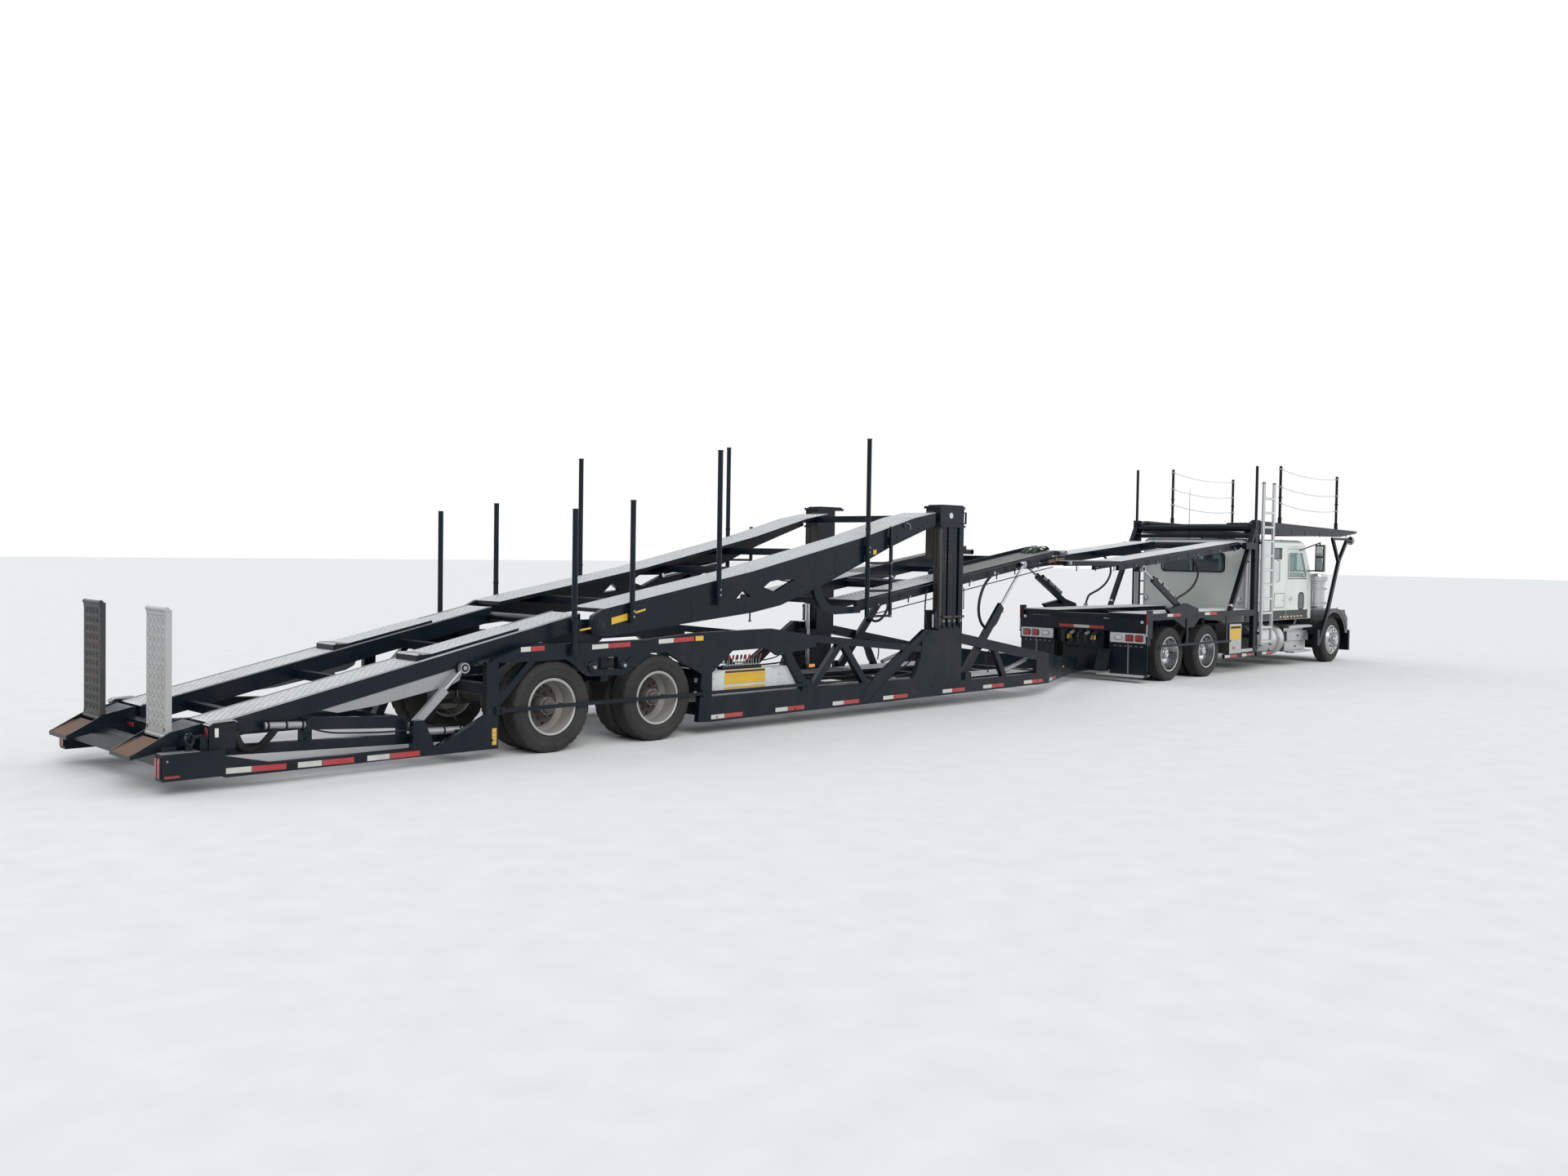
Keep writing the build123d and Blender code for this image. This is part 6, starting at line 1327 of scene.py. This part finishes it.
def build_truck_sides():
    t = Piece("truck_side_tapes", "truck")
    for _ in t.sides():
        for x0, x1 in ((12.651, 13.111), (13.971, 14.41)):
            t.tape(x0, x1, 1.112, 1.112)
        # Low bar under the boxes, with its tapes
        for ends in ((14.74, 15.86), (16.03, 16.69)):
            t.box(ends, (SIDE_OUT - 0.05, SIDE_OUT - 0.002), (0.3, 0.372), PAINT, 0.006)
        for x0, x1 in ((14.756, 15.23), (15.425, 15.85), (16.245, 16.663)):
            t.tape(x0, x1, 0.312, 0.312)
        for x in (14.8, 15.36, 16.06, 16.64):
            t.box((x - 0.02, x + 0.02), (SIDE_OUT - 0.06, SIDE_OUT - 0.045), (0.3, 0.4), PAINT, 0.003)
        # Yellow plate, blank, on the white box
        t.box((14.955, 15.365), (SIDE_OUT - 0.006, SIDE_OUT - 0.003), (0.63, 0.888), YELLOW, 0.001)
        t.box((14.965, 15.355), (SIDE_OUT - 0.004, SIDE_OUT - 0.002), (0.838, 0.878), RUBBER, 0.0003)
        lamp(t, 15.114, SIDE_OUT - 0.005, 0.481, OUT, 0.085, 0.04, RUBBER, AMBER_LENS)
        t.bolts(((12.36, 1.05), (12.36, 1.14), (15.55, 1.05), (13.55, 1.1), (13.7, 1.1), (14.7, 1.1)),
            SIDE_OUT - 0.001, 0.01, 0.008, PAINT)
    t.done()

    w = Piece("truck_side_fittings", "truck", "structure_paint")
    for side in w.sides():
        # Tank caps, strap bolts and end seams
        w.cap((16.8, TANK_Y + 0.125, 0.812), (0, 0.42, 1), [(0.06, 0), (0.06, 0.03), (0.052, 0.038), (0.03, 0.04)],
            24, POLISHED)
        for x in (16.33, 17.18):
            w.lathe((x, TANK_Y, 0.545), (1, 0, 0), [(0.2985, -0.052), (0.3015, -0.052), (0.3015, 0.052),
                (0.2985, 0.052)], 56, GALV, closed=True)
            for z in (0.52, 0.575):
                w.bolt((x, TANK_Y + 0.3, z), OUT, 0.01, 0.016, GALV)
        for x in (16.104, 17.416):
            w.lathe((x, TANK_Y, 0.545), (1, 0, 0), [(0.2905, -0.006), (0.2935, -0.004), (0.2935, 0.004),
                (0.2905, 0.006)], 56, POLISHED, closed=True)
        w.pipe([(17.43, 0.9, 0.36), (17.5, 0.9, 0.34), (17.56, 0.86, 0.36), (17.62, 0.8, 0.4)], 0.01, 8, RUBBER)
        # Step treads, with black filling their kick holes as painted shade
        for x0, x1, y0, y1, z in ((17.7, 18.65, 1.105, STEP_OUT, 0.8), (17.64, 18.57, 1.085, STEP_OUT + 0.005, 0.3)):
            w.tread(x0, z, x1, z, y0, y1, plate=BRIGHT, hole=BLACK_TRIM, pitch=0.045, gap=0.018)
        # Bright doors of the boxes, with their latches and hinges
        for x0, x1, z0, z1, y in ((17.69, 18.66, 0.5, 0.69, 1.1), (17.62, 18.58, 0.292, 0.492, 1.08)):
            w.box((x0 + 0.02, x1 - 0.02), (y - 0.001, y + 0.003), (z0 + 0.018, z1 - 0.018), BRIGHT, 0.002)
            w.box((x0 + 0.45, x0 + 0.53), (y, y + 0.01), (z0 + 0.075, z0 + 0.115), BLACK_TRIM, 0.003)
            for x in (x0 + 0.12, x1 - 0.2):
                w.tube((x, y + 0.004, z1 - 0.012), (x + 0.08, y + 0.004, z1 - 0.012), 0.006, 8, BRIGHT)
        # Air cleaner bands, cap ribs and intake stub
        for z in (1.225, 1.52, 1.735):
            w.lathe((18.95, CLEANER_Y, z), UP, [(0.1925, 0), (0.199, 0.003), (0.199, 0.024), (0.1925, 0.027)], 48,
                BRIGHT, closed=True)
            w.box((18.935, 18.965), (CLEANER_Y + 0.188, CLEANER_Y + 0.222), (z - 0.002, z + 0.029), BRIGHT, 0.004)
            w.tube((18.925, CLEANER_Y + 0.212, z + 0.013), (18.985, CLEANER_Y + 0.212, z + 0.013), 0.004, 8, GALV)
        # The right ladder is bright: skins on its rungs and stiles
        for k in range(11 if side < 0 else 0):
            z = 0.56 + 0.27 * k
            w.box((16.1, 16.51), (HALF - 0.003, HALF + 0.046), (z - 0.021, z + 0.021), ALLOY, 0.003)
            for q in range(7):
                w.box((16.14 + q * 0.055, 16.158 + q * 0.055), (HALF + 0.004, HALF + 0.04), (z + 0.021, z + 0.0235),
                    BLACK_TRIM, 0.0005)
        for x in (16.09, 16.52) if side < 0 else ():
            w.box((x - 0.026, x + 0.026), (HALF, HALF + 0.05), (0.488, 3.558), ALLOY, 0.004)
            w.box((x - 0.012, x + 0.012), (HALF + 0.049, HALF + 0.0505), (0.5, 3.545), GALV, 0.0005)
            for z in (0.489, 3.545):
                w.box((x - 0.028, x + 0.028), (HALF - 0.002, HALF + 0.052), (z - 0.004, z + 0.018), BLACK_TRIM, 0.003)
        # Lift cylinder beside the rack's tower
        w.tube((15.79, 1.15, 1.18), (15.79, 1.15, 2.06), 0.045, 20, GALV)
        w.cap((15.79, 1.15, 2.05), UP, [(0.052, 0), (0.052, 0.03), (0.03, 0.04), (0.024, 0.12)], 20, PAINT)
        # Clamp on the raking strut and bolts at its foot
        w.lathe((15.02, 1.244, 1.25), (0.51, 0, 0.86), [(0.042, -0.02), (0.046, -0.02), (0.046, 0.02), (0.042, 0.02)],
            16, GALV, closed=True)
        for x, z in ((15.88, 0.45), (15.88, 1.3), (15.88, 2.1), (16.01, 0.45), (16.01, 1.3), (16.01, 2.1),
                (15.9, 2.7)):
            w.bolt((x + 0.01, SIDE_OUT - 0.001, z), OUT, 0.011, 0.01, PAINT)
    w.done()


# ---------- cab ----------
def build_cab_trim():
    c = Piece("cab_trim", "truck", "cab_paint")
    for _ in c.sides():
        y = CAB
        # Dark band along the bottom of the cab
        c.box((15.905, 17.645), (y - 0.002, y + 0.0025), (0.935, 1.115), BLACK_TRIM, 0.001)
        for x in (17.41, 17.56):
            lamp(c, x, y + 0.002, 0.985, OUT, 0.075, 0.036, CHROME, AMBER_LENS)
        # Baggage door with its seal, hinge and lock
        c.surround((17.11, 17.55), (y - 0.002, y + 0.004), (1.168, 1.452), 0.007, 0.007, RUBBER, 0.001)
        c.box((17.125, 17.535), (y - 0.002, y + 0.0055), (1.183, 1.437), CAB_PAINT, 0.003)
        c.cap((17.5, y + 0.005, 1.31), OUT, [(0.017, 0), (0.017, 0.006), (0.01, 0.01)], 18, CHROME)
        for z in (1.22, 1.4):
            c.tube((17.118, y + 0.006, z - 0.022), (17.118, y + 0.006, z + 0.022), 0.006, 10, CHROME)
        # Panel seams of the sleeper and its grab rail
        for x in (16.48, 17.6):
            c.box((x - 0.004, x + 0.004), (y - 0.002, y + 0.003), (1.125, 2.13), CAB_PAINT, 0.001)
        c.box((15.92, 17.6), (y - 0.002, y + 0.003), (1.86, 1.868), CAB_PAINT, 0.001)
        for k in range(16):
            c.bolt((15.96 + k * 0.103, y + 0.002, 1.88), OUT, 0.005, 0.002, CAB_PAINT)
            c.bolt((15.96 + k * 0.103, y + 0.002, 1.14), OUT, 0.005, 0.002, CAB_PAINT)
        c.pipe([(17.225, y + 0.001, 2.1), (17.225, y + 0.048, 2.08), (17.228, y + 0.05, 1.7),
            (17.228, y + 0.001, 1.68)], 0.012, 12, CHROME, straight=True)
        # Gasket of the small window
        c.surround((16.935, 17.415), (y - 0.006, y + 0.005), (2.118, 2.342), 0.015, 0.012, RUBBER, 0.002)
        # Round caps low on the rear wall
        c.lathe((15.898, 0.985, 1.32), BACK, [(0, 0), (0.06, 0), (0.06, 0.01), (0.048, 0.018), (0, 0.02)], 28, CHROME)
    # Gasket of the rear window
    surround = []
    for quarter, (y, z) in enumerate(((0.59, 2.15), (-0.59, 2.15), (-0.59, 1.93), (0.59, 1.93))):
        surround += [(15.897, y + 0.066 * cos(a), z + 0.066 * sin(a))
            for a in (pi / 2 * (quarter + k / 6) for k in range(7))]
    c.pipe(surround + surround[:1], 0.016, 10, RUBBER, straight=True)
    c.box((15.893, 15.9), (-0.012, 0.012), (1.88, 2.2), RUBBER, 0.003)
    for k in range(21):
        c.bolt((15.9, -1.0 + k * 0.1, 0.965), BACK, 0.005, 0.002, CAB_PAINT)
    # Five marker lamps along the roof's front edge, an aerial and a horn
    for y in (-0.78, -0.39, 0.0, 0.39, 0.78):
        c.lathe((18.02, y, 2.487), (0.15, 0, 1), [(0, 0), (0.03, 0), (0.03, 0.008), (0.02, 0.022), (0, 0.026)], 20,
            [CHROME, CHROME, AMBER_LENS, AMBER_LENS])
    c.tube((17.4, 0.9, 2.76), (17.4, 0.9, 3.54), 0.006, 8, RUBBER, r1=0.003)
    c.tube((17.4, 0.9, 2.48), (17.4, 0.9, 2.77), 0.011, 12, RUBBER)
    c.lathe((17.3, 0.55, 2.535), (1, 0, 0), [(0, 0), (0.03, 0), (0.022, 0.06), (0.022, 0.3), (0.035, 0.4),
        (0.058, 0.47), (0.06, 0.475), (0.03, 0.46), (0, 0.45)], 24, CHROME)
    c.box((17.34, 17.4), (0.53, 0.57), (2.485, 2.525), CHROME, 0.004)
    c.done()


# Wipers, and the gasket round both panes of the windscreen
def build_windscreen_trim():
    v = Piece("windscreen_trim", "truck")
    for y in (-0.62, 0.06):
        v.pipe([(18.8, y, 1.79), (18.728, y + 0.2, 1.92), (18.658, y + 0.42, 2.035)], 0.007, 8, BLACK_TRIM)
        v.pipe([(18.736, y + 0.02, 1.9), (18.664, y + 0.4, 2.02)], 0.01, 8, RUBBER, 2)
    foot, head = (18.768, 1.832), (18.422, 2.392)
    for y in (-0.975, 0.0, 0.975):
        v.pipe([(foot[0], y, foot[1]), (head[0], y, head[1])], 0.012, 8, RUBBER, 2)
    for x, z in (foot, head):
        v.pipe([(x, -0.975, z), (x, 0.975, z)], 0.012, 8, RUBBER, 2)
    v.done()


def build_door_trim():
    for tag, side in (("left", 1), ("right", -1)):
        d = Piece(f"door_trim_{tag}", f"door_{tag}_body", "cab_paint")
        d.side = side
        y = CAB
        d.box((17.665, 18.635), (y - 0.002, y + 0.003), (0.935, 1.115), BLACK_TRIM, 0.001)
        for x in (17.72, 17.88, 18.03, 18.18, 18.34):
            lamp(d, x, y + 0.0025, 0.985, OUT, 0.075, 0.036, CHROME, AMBER_LENS)
        # Handle in its cup
        d.box((17.775, 17.905), (y - 0.001, y + 0.006), (1.3, 1.385), CHROME, 0.008)
        d.box((17.79, 17.89), (y + 0.004, y + 0.024), (1.33, 1.362), CHROME, 0.008)
        d.lathe((17.84, y + 0.004, 1.272), OUT, [(0, 0), (0.012, 0), (0.012, 0.005), (0, 0.006)], 16, CHROME)
        # Oval low window with a rubber frame
        verts = []
        for grow, out in ((1.0, 0.0), (1.0, 0.01), (0.92, 0.012), (0.86, 0.004)):
            verts += [(18.32 + a, side * (y + out), 1.285 + b) for a, b in oval(grow * 0.128, grow * 0.18, 36, 0.6)]
        d.add(verts, ring_faces(4, 36), RUBBER)
        d.add(verts[108:], [list(range(36))], LOW_WINDOW)
        # Gasket of the door glass, mirror bracket pads and hinges
        for xa, xb, za, zb in ((17.7, 18.56, 1.728, 1.742), (17.7, 17.714, 1.742, 2.23)):
            d.box((xa, xb), (y - 0.004, y + 0.005), (za, zb), RUBBER, 0.002)
        for z in (1.02, 1.58):
            d.tube((18.628, y + 0.006, z - 0.045), (18.628, y + 0.006, z + 0.045), 0.011, 12, CAB_PAINT)
            for dx in (0.02, 0.055):
                d.bolt((18.618 - dx, y + 0.002, z), OUT, 0.006, 0.004, CAB_PAINT)
        d.box((17.672, 18.6), (y - 0.002, y + 0.0035), (1.655, 1.664), CAB_PAINT, 0.001)
        # Mirror glass, its frame and the round spot mirror
        for z0, z1 in ((1.905, 2.165), (2.185, 2.395)):
            d.box((18.514, 18.52), (1.286, 1.434), (z0, z1), RUBBER)
            d.box((18.511, 18.516), (1.292, 1.428), (z0 + 0.006, z1 - 0.006), CHROME)
        d.done()


def build_bonnet_trim():
    b = Piece("bonnet_trim", "bonnet_body", "cab_paint")
    for _ in b.sides():
        # Headlamp glass with its bright ring, and the turn lamp beside it
        for y in (0.868, 1.042):
            b.box((20.346, 20.356), (y - 0.08, y + 0.08), (0.89, 1.045), CHROME, 0.006)
            b.box((20.352, 20.362), (y - 0.068, y + 0.068), (0.903, 1.032), CLEAR_LENS, 0.008)
        lamp(b, 20.2, 1.15, 0.965, OUT, 0.11, 0.075, CHROME, AMBER_LENS)
        lamp(b, 19.776, 1.214, 1.118, OUT, 0.09, 0.036, CHROME, RED_LENS)
        # Rolled lip round the wheel arch
        arch = [(19.66 + 0.64 * cos(a), 1.212, 0.464 + 0.64 * sin(a))
            for a in (radians(18 + 8 * q) for q in range(19))]
        b.pipe(arch, 0.011, 8, BLACK_TRIM, 3)
        # Louvres beside the bonnet, and its latches
        for k in range(9):
            x = 19.12 + k * 0.085
            b.box((x, x + 0.055), (0.634, 0.648), (1.375 - 0.002 * k, 1.5 - 0.008 * k), BLACK_TRIM, 0.003)
        b.box((18.84, 18.94), (0.634, 0.662), (1.3, 1.36), RUBBER, 0.008)
        b.lathe((18.9, 0.66, 1.33), OUT, [(0, 0), (0.02, 0), (0.02, 0.006), (0, 0.01)], 16, RUBBER)
    # Grille bars inside a bright surround
    for k in range(15):
        z = 0.765 + k * 0.041
        b.box((20.346, 20.36), (-0.445, 0.445), (z, z + 0.014), CHROME, 0.003)
    for ya, yb, za, zb in ((-0.475, 0.475, 1.352, 1.378), (-0.475, 0.475, 0.722, 0.748),
            (-0.475, -0.447, 0.748, 1.352), (0.447, 0.475, 0.748, 1.352), (-0.012, 0.012, 0.748, 1.352)):
        b.box((20.346, 20.366), (ya, yb), (za, zb), CHROME, 0.005)
    b.pipe([(18.8, 0, 1.768), (19.2, 0, 1.71), (19.7, 0, 1.64), (20.18, 0, 1.555)], 0.01, 8, CAB_PAINT)
    b.done()


def bumper_face(y):
    """The bumper bows forward: X of its face at this distance from the middle."""
    return 20.64 - y * y / (2 * BUMPER_R)


def build_bumper_trim():
    u = Piece("bumper_trim", "truck", "bright_metal")
    for _ in u.sides():
        for y in (0.68, 0.86):
            u.lathe((bumper_face(y) - 0.004, y, 0.4), (1, y / BUMPER_R, 0),
                [(0, 0), (0.072, 0), (0.072, 0.006), (0.062, 0.012), (0.05, 0.016), (0, 0.018)], 28,
                [BLACK_TRIM, BLACK_TRIM, CHROME, CHROME, CLEAR_LENS])
        for y in (0.34, 1.08):
            u.bolt((bumper_face(y) - 0.003, y, 0.56), (1, y / BUMPER_R, 0), 0.014, 0.01, CHROME)
        u.box((20.622, 20.6405), (0.03, 0.22), (0.34, 0.46), BLACK_TRIM, 0.003)
    u.pipe([(bumper_face(y) - 0.012, y, 0.641) for y in [0.2 * k for k in range(-6, 7)]], 0.009, 8, CHROME, 2)
    u.done()


# The bright cylinder that lies along each strut of the truck's deck
def build_truck_cylinders():
    p = Piece("truck_lift_cylinders", "truck_lift_barrel_body", "rod_chrome")
    ahead, lift = (-0.884, 0.467), (0.467, 0.884)

    def on(t, up):
        return 13.25 + ahead[0] * t + lift[0] * up, 1.27 + ahead[1] * t + lift[1] * up

    for _ in p.sides():
        for t0, t1, r, finish in ((0.2, 0.7, 0.03, GALV), (0.7, 0.88, 0.02, CHROME)):
            (xa, za), (xb, zb) = on(t0, 0.082), on(t1, 0.082)
            p.tube((xa, STRUT_Y, za), (xb, STRUT_Y, zb), r, 20, finish)
        for t in (0.22, 0.45, 0.69):
            (xa, za), (xb, zb) = on(t - 0.012, 0.082), on(t + 0.012, 0.082)
            p.tube((xa, STRUT_Y, za), (xb, STRUT_Y, zb), 0.035, 20, PAINT)
        xa, za = on(0.88, 0.075)
        p.box((xa - 0.022, xa + 0.022), (STRUT_Y - 0.02, STRUT_Y + 0.02), (za - 0.028, za + 0.028), PAINT, 0.006)
    p.done()


build_wheels()
build_running_gear()
build_treads()
build_flip_ramps()
build_trailer_tail()
build_trailer_sides()
build_towers()
build_control_box()
build_upper_deck_fittings()
build_strap_heap()
build_deck_fittings()
build_hoses()
build_truck_rear()
build_truck_sides()
build_cab_trim()
build_windscreen_trim()
build_door_trim()
build_bonnet_trim()
build_bumper_trim()
build_truck_cylinders()

# ---------- stage, light and camera ----------
floor_mesh = bpy.data.meshes.new("floor")
floor_mesh.from_pydata([(-160, -160, 0), (160, -160, 0), (160, 160, 0), (-160, 160, 0)], [], [(0, 1, 2, 3)])
floor = bpy.data.objects.new("floor", floor_mesh)
bpy.context.scene.collection.objects.link(floor)
floor_mat = bpy.data.materials.new("floor")
floor_mat.use_nodes = True
ft = floor_mat.node_tree
fb = ft.nodes["Principled BSDF"]
ftex = ft.nodes.new("ShaderNodeTexCoord")
fn = node(ft, "ShaderNodeTexNoise")
fn.inputs["Scale"].default_value = 3.0
fn.inputs["Detail"].default_value = 8.0
ft.links.new(ftex.outputs["Object"], fn.inputs["Vector"])
ft.links.new(mix_colour(ft, fn.outputs["Fac"], (0.62, 0.62, 0.61, 1), (0.72, 0.72, 0.71, 1)), fb.inputs["Base Color"])
fb.inputs["Roughness"].default_value = 0.85
floor_mesh.materials.append(floor_mat)


def soft_sun(name, source, strength, spread):
    light = bpy.data.lights.new(name, "SUN")
    light.energy = strength
    light.angle = radians(spread)
    o = bpy.data.objects.new(name, light)
    o.rotation_euler = (-Vector(source)).to_track_quat("-Z", "Y").to_euler()
    bpy.context.scene.collection.objects.link(o)


soft_sun("key", (-12, -26, 20), 2.0, 40)
soft_sun("fill", (22, -18, 12), 0.5, 60)
soft_sun("rim", (-4, 24, 16), 0.7, 50)

world = bpy.data.worlds.new("sky")
bpy.context.scene.world = world
world.use_nodes = True
wt = world.node_tree
wt.nodes.clear()
out = wt.nodes.new("ShaderNodeOutputWorld")
sky = wt.nodes.new("ShaderNodeBackground")
sky.inputs["Color"].default_value = (0.86, 0.9, 0.95, 1)
sky.inputs["Strength"].default_value = 0.75
white = wt.nodes.new("ShaderNodeBackground")
white.inputs["Color"].default_value = (1, 1, 1, 1)
white.inputs["Strength"].default_value = 1.0
path = wt.nodes.new("ShaderNodeLightPath")
pick = wt.nodes.new("ShaderNodeMixShader")
seen = maths(wt, "MAXIMUM", path.outputs["Is Camera Ray"], path.outputs["Is Transmission Ray"])
wt.links.new(seen, pick.inputs[0])
wt.links.new(sky.outputs[0], pick.inputs[1])
wt.links.new(white.outputs[0], pick.inputs[2])
wt.links.new(pick.outputs[0], out.inputs["Surface"])

# The camera stands where the photo was taken; its focal length was found in pixels of the photo's width
FOCAL_PX, PHOTO_PX = 1650.87, 1920.0
yaw, pitch, roll = radians(44.858), radians(1.616), radians(0.886)
ahead = Vector((cos(yaw) * cos(pitch), sin(yaw) * cos(pitch), -sin(pitch)))
right = Vector((sin(yaw), -cos(yaw), 0))
up = right.cross(ahead)
cam_right = right * cos(roll) + up * sin(roll)
cam_up = up * cos(roll) - right * sin(roll)
cam_data = bpy.data.cameras.new("camera")
cam_data.sensor_width = 36.0
cam_data.lens = cam_data.sensor_width * FOCAL_PX / PHOTO_PX
cam_data.clip_end = 500.0
cam = bpy.data.objects.new("camera", cam_data)
turn = Matrix((cam_right, cam_up, -ahead)).transposed().to_4x4()
cam.matrix_world = Matrix.Translation((AX - 8.242, -12.844, 2.152)) @ turn
bpy.context.scene.collection.objects.link(cam)
bpy.context.scene.camera = cam
bpy.context.scene.view_settings.view_transform = "Standard"
